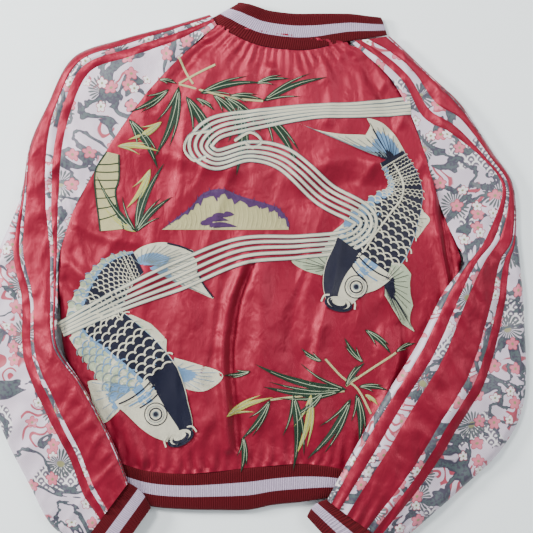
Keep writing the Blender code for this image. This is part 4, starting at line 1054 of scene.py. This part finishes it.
class Stitches:
    """Embroidery on the back: shapes gathered by thread colour and laid on the satin."""

    def __init__(self):
        self.cloths = {}

    def lay(self, look, points, lift, dome=0.0, flip=False):
        """A grid [rows, columns, 2] laid on the back, raised by lift and domed across its columns."""
        points = np.asarray(points, float)
        rows, columns = points.shape[:2]
        t = np.linspace(-1, 1, columns)[None, :]
        z = back_height(points.reshape(-1, 2)).reshape(rows, columns)
        z = z + lift + bpy.context.scene.jacket_sizes.thread_lift / MM
        z = z + dome * np.sqrt(np.clip(1 - t ** 2, 0, 1))
        self.cloths.setdefault(look, Cloth()).add(np.dstack([points, z]), flip=flip)

    def line(self, look, path, width, lift=0.8, steps=4, taper=0.0):
        """A couched line of thread along a path, thinner towards its end by the taper."""
        p = smooth(path, steps) if len(path) > 2 else resample(path, 6)
        along = np.gradient(p, axis=0)
        along /= np.linalg.norm(along, axis=1)[:, None] + 1e-9
        side = np.column_stack([-along[:, 1], along[:, 0]])
        wide = width / 2 * (1 - taper * np.linspace(0, 1, len(p)))[:, None]
        t = np.linspace(-1, 1, 4)
        self.lay(look, np.stack([p + side * wide * k for k in t], axis=1), lift, 0.35)

    def lens(self, look, base, tip, width, lift=0.3, bend=0.06):
        """A leaf from its base to its tip."""
        base, tip = np.asarray(base, float), np.asarray(tip, float)
        share = np.linspace(0, 1, 12)[:, None]
        along = tip - base
        side = np.array([-along[1], along[0]]) / np.linalg.norm(along)
        middle = base + along * share + side * np.sin(math.pi * share) * np.linalg.norm(along) * bend
        half = width / 2 * np.sin(math.pi * share ** 0.62) ** 0.8
        t = np.linspace(-1, 1, 7)
        self.lay(look, np.stack([middle + side * half * k for k in t], axis=1), lift, 0.5)
        return middle

    def leaf(self, base, tip, width, look):
        """A leaf with its midrib, and two smaller ones beside it."""
        base, tip = np.asarray(base, float), np.asarray(tip, float)
        along = tip - base
        for turn, reach, wide, lift in ((0.0, 1.1, 0.66, 0.6), (0.17, 0.9, 0.36, 0.3),
                                        (-0.24, 0.62, 0.3, 0.2)):
            c, s = math.cos(turn), math.sin(turn)
            end = base + np.array([along[0] * c - along[1] * s, along[0] * s + along[1] * c]) * reach
            middle = self.lens(look, base, end, width * wide, lift)
            self.line("sage", middle[1:-2], 1.1, lift + 0.6, 1, 0.5)

    def disc(self, look, centre, radius, lift, squeeze=1.0, way=0.0, around=18):
        """A round or oval patch, its long side turned to a direction."""
        turn = np.linspace(0, 2 * math.pi, around + 1)
        c, s = math.cos(way), math.sin(way)
        x, y = np.cos(turn) * radius, np.sin(turn) * radius * squeeze
        ring = np.column_stack([x * c - y * s, x * s + y * c])
        share = np.linspace(0.02, 1, 4)[:, None, None]
        self.lay(look, np.asarray(centre, float) + ring[None] * share, lift)

    def fan(self, look, hub, tips, lift, scallop=0.0, rays=None, inner=()):
        """A fin from its hub to the curve of its tips, with inner bands and rays in other threads."""
        edge = smooth(tips, 6)
        hub = np.asarray(hub, float)
        if scallop:
            notch = np.abs(np.sin(np.linspace(0, math.pi * (len(tips) - 1), len(edge))))
            edge = hub + (edge - hub) * (1 - scallop * notch)[:, None]
        share = np.linspace(0.08, 1, 12)[:, None, None]
        self.lay(look, hub + (edge - hub)[None] * share, lift)
        wobble = (1 + 0.07 * np.sin(np.arange(len(edge)) * 2.3))[None, :, None]
        for k, (other, reach) in enumerate(inner):
            ragged = reach * wobble
            self.lay(other, hub + (edge - hub)[None] * share * ragged, lift + 0.25 * (k + 1))
        lift += 0.25 * len(inner)
        if not rays:
            return
        middles = [(np.asarray(a, float) + np.asarray(b, float)) / 2 for a, b in zip(tips, tips[1:])]
        for ends, root, reach, width in ((tips, 0.15, 0.9, 1.1), (middles, 0.2, 0.84, 0.9)):
            for tip in ends:
                way = np.asarray(tip) - hub
                self.line(rays, [hub + way * root, hub + way * reach], width, lift + 0.4, taper=0.4)

    def finish(self, name):
        """One piece for each thread colour; the first stands for the CAD patch of this name."""
        for k, (look, cloth) in enumerate(sorted(self.cloths.items())):
            cloth.finish(f"{name}_{look}", look, replaces=() if k else (name,))


# Angles along the rim of a scale.
ARC = (-1.25, -0.85, -0.42, 0.0, 0.42, 0.85, 1.25)
# Rings of the eye and of the mouth, from the outside in: radius, thread, lift, and how far ahead.
EYE = ((16.5, "navy_thread", 2.7), (15, "cream", 2.9), (12, "grey_thread", 3.1), (11.2, "cream", 3.3),
       (9.4, "navy_thread", 3.5), (7.4, "cream", 3.7), (4.6, "grey_thread", 3.8), (3.2, "navy_thread", 3.9))
MOUTH = ((20, "navy_thread", 2.8, 0), (16.5, "cream", 3.1, -2), (13, "navy_thread", 3.4, 0),
         (9.5, "cream", 3.7, -3))
GILL = ("navy_thread", "cream", "pale", "cream", "navy_thread")


def koi(stitch, spine, halves, dark_side, eye, head_share, dark_from, scales):
    """A koi: skin, rows of scale rims, a lateral line, gill, eye and mouth, along its spine from the tail.

    Scales past dark_from, shares of the half width at the tail and at the head, are navy with cream
    rims."""
    line = smooth(spine, 8)
    half = np.interp(np.linspace(0, 1, len(line)), np.linspace(0, 1, len(halves)), halves)
    along = np.gradient(line, axis=0)
    along /= np.linalg.norm(along, axis=1)[:, None]
    side = np.column_stack([-along[:, 1], along[:, 0]]) * dark_side
    far = np.concatenate([[0], np.cumsum(np.linalg.norm(np.diff(line, axis=0), axis=1))])
    head = far[-1] * head_share
    end = int(np.searchsorted(far, head)) + 1
    whole = max(dark_from) < -0.5
    border = np.interp(far, [0, head], dark_from)

    def strip(low, high, first=0, last=None, columns=17):
        low = np.broadcast_to(low, len(line))[first:last, None]
        t = low + (high - low) * np.linspace(0, 1, columns)
        return line[first:last, None] + side[first:last, None] * (half[first:last, None] * t)[:, :, None]

    turned = dark_side < 0
    stitch.lay("cream", strip(-1, 1), 0.0, 0.5, turned)
    stitch.lay("pale", strip(np.maximum(border - 0.12, -0.99), 0.98, 0, end), 0.35, 0.4, turned)
    stitch.lay("navy_thread", strip(np.maximum(border + 0.02, -0.97), 0.97, 0, end), 0.55, 0.4, turned)
    place, row = 6.0, 0
    while place < head:
        i = int(np.searchsorted(far, place))
        size = half[i] / scales * 1.1
        turn = math.atan2(-along[i][1], -along[i][0])
        for k in range(scales + row % 2):
            t = (2 * k + 1 - row % 2) / scales - 1
            spot = line[i] + side[i] * half[i] * t * 0.93
            rim = [spot + size * np.array([math.cos(turn + a), math.sin(turn + a)]) for a in ARC]
            if t > border[i]:
                if t > 0.8 and whole:
                    stitch.disc("pale", spot - along[i] * size * 0.1, size * 0.8, 1.0, 1.0, turn, 10)
                stitch.line("cream", rim, size * 0.27, 1.2, 2)
            else:
                stitch.disc("sage", spot - along[i] * size * 0.1, size * 0.74, 0.5, 1.0, turn, 10)
                stitch.line("pale" if t > border[i] - 0.5 else "grey_thread", rim, size * 0.22, 0.9, 2)
        row += 1
        place += size * 1.05
    if whole:
        run = slice(2, end - 3)
        stitch.line("cream", line[run] + side[run] * (half[run] * 0.12)[:, None], 2.6, 1.7, 1)
    start = end - 3
    stitch.lay("cream", strip(-1, 1, start), 1.6, 0.8, turned)
    stitch.lay("pale", strip(-0.5, 0.0, start, start + 7), 2.1, 0.4, turned)
    stitch.lay("navy_thread", strip(0.08, 0.97, start), 2.2, 0.5, turned)
    for k, look in enumerate(GILL):
        reach = 0.94 - 0.10 * k
        i = start + k
        gill = [line[i] + side[i] * half[i] * t + along[i] * (9 - 12 * (t + 0.4) ** 2)
                for t in (-reach, -0.7 * reach, -0.4, -0.1, 0.14)]
        stitch.line(look, gill, 2.0, 2.8)
    for radius, look, lift in EYE:
        stitch.disc(look, eye, radius, lift)
    mouth, way = line[-1] - along[-1] * 5, math.atan2(along[-1][1], along[-1][0]) + math.pi / 2
    for radius, look, lift, ahead in MOUTH:
        stitch.disc(look, mouth + along[-1] * ahead, radius, lift, 0.52, way)
    for k in (-1, 1):
        root = mouth - along[-1] * 10 + side[-1] * 15 * k
        bent, end = (root + side[-1] * out * k + along[-1] * on for out, on in ((7, 3), (9, 12)))
        stitch.line("cream", [root, bent, end], 2.4, 2.6)


def build_koi_left():
    """The koi at the left: its fins, then its body over them."""
    stitch = Stitches()
    stitch.fan("cream", (-160, 26),
               [(-178, 39), (-160, 52), (-138, 58), (-119, 57), (-102, 51), (-87, 45), (-100, 28)],
               0.2, rays="grey_thread", inner=[("pale", 0.55)])
    stitch.line("navy_thread", [(-124, 57), (-104, 52), (-88, 45)], 2.6, 1.2)
    stitch.fan("cream", (-150, 22),
               [(-98, 44), (-84, 34), (-82, 18), (-74, 0), (-59, -20), (-84, -10), (-106, -1)],
               0.3, rays="grey_thread", inner=[("pale", 0.4)])
    stitch.line("navy_thread", [(-82, 18), (-74, 0), (-60, -19)], 2.2, 1.3)
    stitch.fan("cream", (-170, -62),
               [(-190, -50), (-175, -43), (-147, -56), (-125, -78), (-124, -101), (-131, -113)],
               0.0, scallop=0.06, inner=[("sage", 0.5)])
    stitch.fan("cream", (-120, -124),
               [(-114, -103), (-82, -112), (-48, -124), (-52, -138), (-74, -150), (-100, -146),
                (-110, -138)],
               0.1, rays="pale", inner=[("pale", 0.5)])
    stitch.fan("cream", (-174, -146),
               [(-186, -140), (-210, -136), (-236, -137), (-230, -165), (-214, -195), (-192, -178)],
               0.3, scallop=0.04, rays="pale", inner=[("pale", 0.6)])
    koi(stitch,
        [(-165, 31), (-197, 13), (-220, -24), (-228, -55), (-204, -80), (-174, -113), (-151, -144),
         (-130, -178), (-112, -203), (-103, -220)],
        [17, 27, 34, 38, 44, 49, 50, 40, 27, 13],
        1, (-140, -182), 0.72, (-0.85, 0.0), 6)
    stitch.finish("koi_left")


def build_koi_right():
    """The koi at the right: its fins, then its body over them."""
    stitch = Stitches()
    stitch.fan("cream", (186, 172),
               [(58, 226), (84, 216), (118, 210), (150, 209), (166, 205)],
               0.2, rays="grey_thread", inner=[("pale", 0.55), ("navy_thread", 0.34)])
    stitch.fan("cream", (192, 168),
               [(152, 206), (160, 222), (156, 232), (176, 226), (192, 212), (206, 190), (212, 176)],
               0.3, rays="navy_thread", inner=[("pale", 0.72), ("navy_thread", 0.3)])
    stitch.fan("cream", (172, 74),
               [(176, 112), (154, 110), (128, 92), (106, 72), (92, 44), (110, 34)],
               0.0, scallop=0.05, rays="pale", inner=[("pale", 0.75)])
    stitch.fan("cream", (206, 92),
               [(230, 106), (243, 91), (236, 78), (226, 64)],
               0.1, rays="navy_thread")
    stitch.fan("sage", (180, 2),
               [(190, 30), (206, 28), (217, 14), (216, -6), (220, -30), (216, -52), (222, -67),
                (205, -56), (192, -36), (180, -16)],
               1.2, scallop=0.03, rays="navy_thread", inner=[("navy_thread", 0.38)])
    stitch.fan("sage", (104, 22),
               [(112, 36), (82, 42), (50, 34), (66, 20), (92, 12)],
               0.1, rays="navy_thread")
    koi(stitch,
        [(190, 178), (207, 146), (207, 120), (192, 96), (171, 66), (150, 35), (130, 11), (120, -9),
         (114, -33)],
        [19, 21, 27, 40, 49, 48, 38, 28, 14],
        -1, (140, -4), 0.68, (-1.1, -1.1), 7)
    stitch.finish("koi_right")


STREAM_PATH = [
    (216, 250), (146, 244), (76, 241), (-1, 230), (-57, 218), (-78, 193), (-56, 174), (-8, 186),
    (41, 174), (97, 125), (152, 92), (132, 62), (62, 52), (-22, 46), (-106, 13), (-190, -22),
    (-274, -64),
]


CURLS = ([(-30, 200), (-8, 212), (8, 200), (-4, 190), (-16, 198)],
         [(-62, 214), (-92, 208), (-100, 188), (-86, 172), (-70, 178)])


def build_stream():
    """The stream's five bands with grey edges, and two curls beside them."""
    stitch = Stitches()
    p = smooth(STREAM_PATH, 9)
    along = np.gradient(p, axis=0)
    along /= np.linalg.norm(along, axis=1)[:, None]
    side = np.column_stack([-along[:, 1], along[:, 0]])
    spread = np.interp(np.linspace(0, 1, len(p)), [0, 0.12, 0.2, 0.3, 0.42, 0.56, 0.66, 0.75, 0.88, 1.0],
                       [5.2, 4.6, 6.0, 8.0, 6.6, 7.6, 7.6, 7.6, 9.0, 5.0])
    for k in range(5):
        ripple = 1.2 * np.sin(np.arange(len(p)) / 7.0 + k * 0.7)
        centre = p + side * ((k - 2) * spread)[:, None] + side * ripple[:, None]
        wide = np.minimum(spread * 0.42, 2.1)
        t = np.linspace(-1, 1, 5)
        stitch.lay("cream", centre[:, None] + side[:, None] * (wide[:, None] * t[None])[:, :, None], 1.5, 0.4)
        for edge in (-1, 1):
            stitch.line("grey_thread", centre + side * (wide * 1.04 * edge)[:, None], 0.9, 1.5, 1)
    for curl in CURLS:
        stitch.line("cream", curl, 3.4, 1.6)
        stitch.line("grey_thread", [(x, y + 3) for x, y in curl], 1.0, 1.7)
    stitch.finish("stream")


# Each leaf: where it grows from, its tip, its width and its thread.
LEAVES = {
    "upper": [
        ((-108, 277), (-139, 186), 16, "leaf"), ((-98, 263), (-62, 183), 17, "leaf"),
        ((-122, 273), (-172, 244), 12, "leaf"), ((-178, 231), (-141, 167), 15, "leaf"),
        ((-24, 253), (-27, 161), 17, "leaf"), ((-60, 265), (-28, 230), 13, "leaf"),
        ((-45, 263), (3, 217), 14, "leaf"), ((-84, 260), (-60, 244), 9, "leaf"),
        ((-78, 267), (0, 281), 13, "leaf"), ((0, 281), (43, 287), 9, "leaf"),
        ((-38, 263), (7, 258), 10, "leaf"), ((10, 256), (91, 286), 13, "leaf"),
        ((6, 244), (56, 168), 16, "leaf"), ((-136, 286), (-112, 281), 8, "leaf"),
        ((-132, 227), (-175, 204), 11, "lime"), ((-194, 193), (-140, 186), 10, "lime"),
        ((-148, 161), (-178, 111), 12, "lime"), ((-168, 73), (-132, 161), 14, "leaf"),
        ((-168, 73), (-122, 118), 12, "leaf"), ((-168, 73), (-218, 144), 13, "leaf"),
        ((-168, 73), (-209, 104), 11, "lime"),
    ],
    "lower": [
        ((127, -148), (10, -115), 16, "leaf"), ((-8, -122), (-42, -127), 10, "leaf"),
        ((120, -150), (20, -144), 15, "leaf"), ((94, -151), (56, -182), 13, "leaf"),
        ((52, -154), (52, -252), 16, "leaf"), ((77, -154), (57, -234), 13, "lime"),
        ((133, -161), (77, -238), 15, "leaf"), ((141, -154), (144, -217), 14, "leaf"),
        ((144, -144), (181, -148), 11, "leaf"), ((153, -155), (169, -168), 8, "lime"),
        ((126, -143), (150, -113), 12, "leaf"), ((153, -64), (186, -95), 12, "leaf"),
        ((196, -95), (221, -84), 9, "leaf"), ((20, -162), (-18, -214), 13, "leaf"),
        ((-18, -214), (-21, -260), 12, "leaf"), ((-41, -185), (18, -161), 12, "lime"),
        ((92, -108), (66, -92), 10, "leaf"), ((150, -110), (126, -78), 11, "leaf"),
    ],
}
TWIGS = {
    "upper": [
        [(-108, 318), (-98, 296), (-88, 280)],
        [(-108, 281), (-80, 296), (-57, 307)],
        [(-108, 280), (-40, 262), (10, 256)],
    ],
    "lower": [
        [(97, -105), (120, -130), (143, -148), (161, -182)],
        [(20, -162), (70, -156), (124, -150)],
        [(126, -143), (160, -120), (196, -96)],
    ],
}


def build_bamboo(which):
    """A bamboo: its twigs, then its leaves over them."""
    stitch = Stitches()
    for twig in TWIGS[which]:
        stitch.line("khaki", twig, 3.0, 0.3)
    for base, tip, width, look in LEAVES[which]:
        stitch.leaf(base, tip, width, look)
    stitch.finish(f"bamboo_{which}")


MOUND_FOOT = 76.0
MOUND = [
    (-132, 76), (-112, 92), (-91, 108), (-74, 127), (-48, 133), (-21, 123), (20, 111), (34, 104),
    (46, 87), (46, 76),
]
STUMP = [
    (-218, 74), (-224, 120), (-225, 157), (-209, 185), (-192, 181), (-192, 147), (-197, 125), (-185, 77),
]


# Streaks of moss at the foot: x, y and length.
MOSS = ((-78, 85, 20), (-72, 89, 34), (-62, 94, 26), (-66, 81, 40), (-46, 97, 16))
BLADES, BLADE_START, BLADE_PITCH = 24, -120, 6.6


def build_mound():
    """The mound: a khaki ground with blades, and purple moss along its ridge."""
    stitch = Stitches()
    top = smooth(MOUND, 5)
    foot = np.column_stack([np.linspace(MOUND[0][0], MOUND[-1][0], len(top)), np.full(len(top), MOUND_FOOT)])
    share = np.linspace(0, 1, 12)[:, None, None]
    stitch.lay("khaki", foot[None] + (top - foot)[None] * share, 0.3)
    step = np.arange(len(top))
    jag = 0.9 - 0.22 * np.abs(np.sin(step * 1.9) * np.sin(step * 0.7 + 1))[:, None]
    inner = foot + (top - foot) * jag
    stitch.lay("purple", inner[None] + (top - inner)[None] * share, 0.8)
    for k, (x, y, reach) in enumerate(MOSS):
        stitch.lens("purple", (x, y), (x + reach, y + (k % 3) - 1), 8, 0.9)
    for k in range(BLADES):
        x = BLADE_START + k * BLADE_PITCH
        tall = np.interp(x, top[:, 0], top[:, 1]) - MOUND_FOOT
        blade = [(x, 78), (x + 3, MOUND_FOOT + tall * 0.4),
                 (x + 1, MOUND_FOOT + tall * (0.7 + 0.1 * math.sin(k * 2.1)))]
        stitch.line("khaki", blade, 2.6, 0.6)
    for k in range(3, len(top) - 6, 2):
        spike = top[k] + np.array([math.sin(k * 1.7) * 2.5, 1.5 + 2.5 * abs(math.sin(k * 2.3))])
        stitch.line("purple", [top[k] - (0, 3), spike], 1.6, 1.2, taper=0.6)
    stitch.finish("mound")


def build_stump():
    """The stump: a khaki trunk with green edges and rings across it."""
    stitch = Stitches()
    left, right = smooth(STUMP[:4], 6), smooth(STUMP[4:][::-1], 6)
    right = resample(right, len(left))
    share = np.linspace(0, 1, 8)[None, :, None]
    stitch.lay("khaki", left[:, None] + (right - left)[:, None] * share, 0.4, 0.6)
    for edge in (left, right):
        stitch.line("leaf", edge, 2.2, 1.0, 1)
    for k in range(7):
        i = 2 + k * (len(left) - 4) // 7
        across = [left[i], (left[i] + right[i]) / 2 + (0, 5), right[min(i + 2, len(right) - 1)]]
        stitch.line("leaf", across, 1.6, 1.2)
    stitch.finish("stump")


def rounded_box(cloth, centre, half, way):
    """A soft-cornered block whose long side lies along a direction in the plan."""
    c, s = way
    made = bmesh.ops.create_cube(cloth.bm, size=1.0)["verts"]
    for v in made:
        x, y = v.co.x * 2 * half[0], v.co.y * 2 * half[1]
        v.co = ((centre[0] + x * c - y * s + HOME.x) * MM, (centre[1] + x * s + y * c + HOME.y) * MM,
                (centre[2] + v.co.z * 2 * half[2]) * MM)
    edges = {e for v in made for e in v.link_edges}
    bmesh.ops.bevel(cloth.bm, geom=list(edges), offset=min(half) * 0.4 * MM, segments=2, profile=0.5,
                    affect="EDGES", material=-1)


TOOTH_PITCH = 3.2
TOOTH_HALF = (1.25, 0.62, 0.75)
TOOTH_OFF = 1.35
TAPE_ROWS = 140


def build_zip():
    """Teeth on both edges of the zip, and its tapes."""
    top, run = np.array(ZIP_TOP), np.array(ZIP_BOTTOM) - np.array(ZIP_TOP)
    count = int((ZIP_BOTTOM - ZIP_TOP).length / TOOTH_PITCH) - 3
    for side, sign in (("left", -1), ("right", 1)):
        across = ZIP_SIDE * sign * (1 if ZIP_SIDE.x > 0 else -1)
        teeth = Cloth()
        for k in range(count):
            far = TOOTH_PITCH * (k + 1.5 + (0.5 if sign > 0 else 0))
            spot = ZIP_TOP + ZIP_WAY * far + across * TOOTH_OFF
            rounded_box(teeth, (spot.x, spot.y, ZIP_LEVEL), TOOTH_HALF, (across.x, across.y))
        teeth.finish(f"zip_teeth_{side}", "metal", replaces=[f"zip_chain_{side}"])
        low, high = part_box(f"zip_tape_{side}")
        line = top + run * np.linspace(-0.004, 1.0, TAPE_ROWS)[:, None]
        plan = np.stack([line + np.array(across) * off for off in (1.4, 5.0, 9.0, 14.0)], axis=1)
        ripple = 0.25 * waves(plan.reshape(-1, 2), 20, 8.0).reshape(plan.shape[:2])
        tape = Cloth()
        tape.add(np.dstack([plan, (low.z + high.z) / 2 / MM + ripple]), flip=sign < 0)
        piece = tape.finish(f"zip_tape_cloth_{side}", "tape", replaces=[f"zip_tape_{side}"])


# The small cloths: the finish, the cut size and what each lies on.
SMALL_CLOTHS = {
    "pocket_welt_left": ("satin", (0.022, 0.15), "front_cloth_left"),
    "pocket_welt_right": ("satin", (0.022, 0.15), "front_cloth_right"),
    "neck_label": ("label", (0.034, 0.058), "back_lining_cloth"),
    "hanger_loop": ("satin", (0.01, 0.064), "back_lining_cloth"),
}
METAL_PIECES = ("zip_top_stop_left", "zip_top_stop_right", "zip_retainer", "zip_slider", "zip_pull")
WELD, LONGEST_EDGE, UNEVEN = 0.00005, 0.006, 0.0003


def build_details():
    """Pocket welts, the neck label and the hanger loop, and a finish for the metal that stays."""
    for node, (look, flat, under) in SMALL_CLOTHS.items():
        cloth = Cloth()
        cloth.bm.from_mesh(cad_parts[node].data)
        bmesh.ops.remove_doubles(cloth.bm, verts=cloth.bm.verts, dist=WELD)
        longest = [e for e in cloth.bm.edges if e.calc_length() > LONGEST_EDGE]
        bmesh.ops.subdivide_edges(cloth.bm, edges=longest, cuts=4, use_grid_fill=True)
        for v in cloth.bm.verts:
            v.co.z += UNEVEN * noise.noise(v.co * 90)
        bmesh.ops.recalc_face_normals(cloth.bm, faces=cloth.bm.faces)
        piece = cloth.finish(f"{node}_cloth", look, replaces=[node])
    for node in METAL_PIECES:
        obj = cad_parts[node]
        obj.data.materials.clear()
        obj.data.materials.append(LOOKS["metal"])


def add_light(name, place, size, power, colour):
    """A round soft light that faces the middle of the jacket."""
    data = bpy.data.lights.new(name, "AREA")
    data.shape, data.size, data.energy, data.color = "DISK", size, power, colour
    lamp = bpy.data.objects.new(name, data)
    bpy.context.scene.collection.objects.link(lamp)
    lamp.location = place
    lamp.rotation_euler = (-Vector(place)).to_track_quat("-Z", "Y").to_euler()


FLOOR_HALF, FLOOR_GAP = 6.0, 0.0004
DAYLIGHT = (1.0, 0.99, 0.98)
LENS, SENSOR = 85, 36
VIEW_WIDTH, VIEW_CENTRE, PIECE_TOP = 0.746, (0.0145, 0.0315), 0.02


def build_stage():
    """The table, four lights, the room's light and the camera straight above."""
    made = bmesh.new()
    bmesh.ops.create_grid(made, x_segments=4, y_segments=4, size=FLOOR_HALF)
    mesh = bpy.data.meshes.new("floor")
    made.to_mesh(mesh)
    made.free()
    mesh.materials.append(LOOKS["floor"])
    floor = bpy.data.objects.new("floor", mesh)
    floor.location.z = CAD_BOX[0][2] - FLOOR_GAP
    bpy.context.scene.collection.objects.link(floor)
    add_light("key", (-0.95, 0.8, 1.9), 0.55, 40, DAYLIGHT)
    add_light("side", (-1.9, 0.6, 1.1), 0.6, 62, DAYLIGHT)
    add_light("fill", (1.6, 0.5, 1.9), 1.2, 26, (0.96, 0.98, 1.0))
    add_light("low_rake", (0.4, 2.4, 0.7), 0.8, 22, DAYLIGHT)
    world = bpy.data.worlds.new("studio")
    world.use_nodes = True
    background = next(n for n in world.node_tree.nodes if n.type == "BACKGROUND")
    background.inputs["Color"].default_value = (0.93, 0.96, 1.0, 1)
    background.inputs["Strength"].default_value = 0.56
    bpy.context.scene.world = world
    eye = bpy.data.cameras.new("camera")
    eye.lens, eye.sensor_width = LENS, SENSOR
    camera = bpy.data.objects.new("camera", eye)
    camera.location = (*VIEW_CENTRE, VIEW_WIDTH * LENS / SENSOR + PIECE_TOP)
    bpy.context.scene.collection.objects.link(camera)
    bpy.context.scene.camera = camera


def colour_setting(name, words, value):
    """A colour that the sidebar shows."""
    return FloatVectorProperty(name=name, description=words, subtype="COLOR", size=3,
                               min=0, max=1, default=value)


def length_setting(name, words, value, low, high):
    """A length in metres that the sidebar shows."""
    return FloatProperty(name=name, description=words, unit="LENGTH", precision=5,
                         default=value, min=low, max=high)


class JacketSizes(bpy.types.PropertyGroup):
    """Sizes of the jacket's relief."""

    crumple: FloatProperty(name="Sleeve crumple", description="How strongly the sleeves wrinkle",
                           subtype="FACTOR", default=1.0, min=0, max=2)
    rib_pitch: length_setting("Rib pitch", "Distance between ribs of the knit", 0.0031, 0.002, 0.006)
    rib_height: length_setting("Rib height", "Height of a knit rib", 0.00065, 0, 0.0012)
    thread_lift: length_setting("Thread lift", "How far the embroidery stands off the satin",
                                0.0005, 0.0002, 0.0015)


class JacketLooks(bpy.types.PropertyGroup):
    """Colours of the jacket, as they look on a screen."""

    satin: colour_setting("Satin", "Body and sleeve satin", (0.60, 0.05, 0.20))
    satin_shade: colour_setting("Satin shade", "Darker threads of the satin", (0.44, 0.02, 0.12))
    lining: colour_setting("Lining", "Reverse side", (0.12, 0.14, 0.24))
    rib: colour_setting("Rib", "Rib knit", (0.35, 0.0, 0.06))
    stripe: colour_setting("Stripe", "Stripe in the rib knit", (0.80, 0.74, 0.84))
    ground: colour_setting("Ground", "Ground of the jacquard", (0.84, 0.79, 0.84))
    cream_thread: colour_setting("Cream thread", "Cream embroidery", (0.87, 0.85, 0.76))
    blue_thread: colour_setting("Blue thread", "Light blue embroidery", (0.48, 0.62, 0.78))
    navy_thread: colour_setting("Navy thread", "Navy embroidery", (0.08, 0.09, 0.19))
    leaf_thread: colour_setting("Leaf thread", "Bamboo leaves", (0.11, 0.24, 0.16))
    table: colour_setting("Table", "Surface under the jacket", (0.97, 1.0, 1.0))


class JACKET_OT_looks(bpy.types.Operator):
    """Make every material"""

    bl_idname = "jacket.looks"
    bl_label = "Materials"

    def execute(self, context):
        make_looks()
        return {"FINISHED"}


class JACKET_OT_stage(bpy.types.Operator):
    """Add the table, lights and camera"""

    bl_idname = "jacket.stage"
    bl_label = "Stage"

    def execute(self, context):
        build_stage()
        return {"FINISHED"}


class JACKET_OT_back(bpy.types.Operator):
    """Build the back and its lining"""

    bl_idname = "jacket.back"
    bl_label = "Back"

    def execute(self, context):
        build_back()
        return {"FINISHED"}


class JACKET_OT_fronts(bpy.types.Operator):
    """Build both fronts, their linings and pocket bags"""

    bl_idname = "jacket.fronts"
    bl_label = "Fronts"

    def execute(self, context):
        build_fronts()
        return {"FINISHED"}


class JACKET_OT_sleeves(bpy.types.Operator):
    """Build both sleeves from their strips"""

    bl_idname = "jacket.sleeves"
    bl_label = "Sleeves"

    def execute(self, context):
        build_sleeve("left")
        build_sleeve("right")
        return {"FINISHED"}


class JACKET_OT_ribs(bpy.types.Operator):
    """Build the collar, hem and cuffs"""

    bl_idname = "jacket.ribs"
    bl_label = "Ribs"

    def execute(self, context):
        build_collar()
        build_hem()
        build_cuff("left")
        build_cuff("right")
        return {"FINISHED"}


class JACKET_OT_koi(bpy.types.Operator):
    """Embroider both koi"""

    bl_idname = "jacket.koi"
    bl_label = "Koi"

    def execute(self, context):
        build_koi_left()
        build_koi_right()
        return {"FINISHED"}


class JACKET_OT_stream(bpy.types.Operator):
    """Embroider the stream"""

    bl_idname = "jacket.stream"
    bl_label = "Stream"

    def execute(self, context):
        build_stream()
        return {"FINISHED"}


class JACKET_OT_bamboo(bpy.types.Operator):
    """Embroider both bamboos"""

    bl_idname = "jacket.bamboo"
    bl_label = "Bamboo"

    def execute(self, context):
        build_bamboo("upper")
        build_bamboo("lower")
        return {"FINISHED"}


class JACKET_OT_ground(bpy.types.Operator):
    """Embroider the mound and the stump"""

    bl_idname = "jacket.ground"
    bl_label = "Mound and stump"

    def execute(self, context):
        build_mound()
        build_stump()
        return {"FINISHED"}


class JACKET_OT_zip(bpy.types.Operator):
    """Build the zip's teeth and tapes"""

    bl_idname = "jacket.zip"
    bl_label = "Zip"

    def execute(self, context):
        build_zip()
        return {"FINISHED"}


class JACKET_OT_details(bpy.types.Operator):
    """Build the welts, label and loop, and finish the metal"""

    bl_idname = "jacket.details"
    bl_label = "Details"

    def execute(self, context):
        build_details()
        return {"FINISHED"}


STEPS = (
    JACKET_OT_looks, JACKET_OT_stage, JACKET_OT_back, JACKET_OT_fronts, JACKET_OT_sleeves,
    JACKET_OT_ribs, JACKET_OT_koi, JACKET_OT_stream, JACKET_OT_bamboo, JACKET_OT_ground,
    JACKET_OT_zip, JACKET_OT_details,
)


class JACKET_PT_sidebar(bpy.types.Panel):
    """Buttons and settings of the jacket"""

    bl_label = "Jacket"
    bl_space_type = "VIEW_3D"
    bl_region_type = "UI"
    bl_category = "Jacket"

    def draw(self, context):
        for step in STEPS:
            self.layout.operator(step.bl_idname)
        for group in (context.scene.jacket_sizes, context.scene.jacket_looks):
            for key in group.__annotations__:
                self.layout.prop(group, key)


CLASSES = (JacketSizes, JacketLooks, *STEPS, JACKET_PT_sidebar)


def register():
    """Makes the panel, the buttons and the settings known."""
    for cls in CLASSES:
        bpy.utils.register_class(cls)
    bpy.types.Scene.jacket_sizes = PointerProperty(type=JacketSizes)
    bpy.types.Scene.jacket_looks = PointerProperty(type=JacketLooks)


def unregister():
    """Takes them away again."""
    del bpy.types.Scene.jacket_looks
    del bpy.types.Scene.jacket_sizes
    for cls in reversed(CLASSES):
        bpy.utils.unregister_class(cls)


def main():
    """Builds the whole jacket."""
    register()
    for step in STEPS:
        getattr(bpy.ops.jacket, step.bl_idname.removeprefix("jacket."))()


if __name__ == "__main__":
    main()
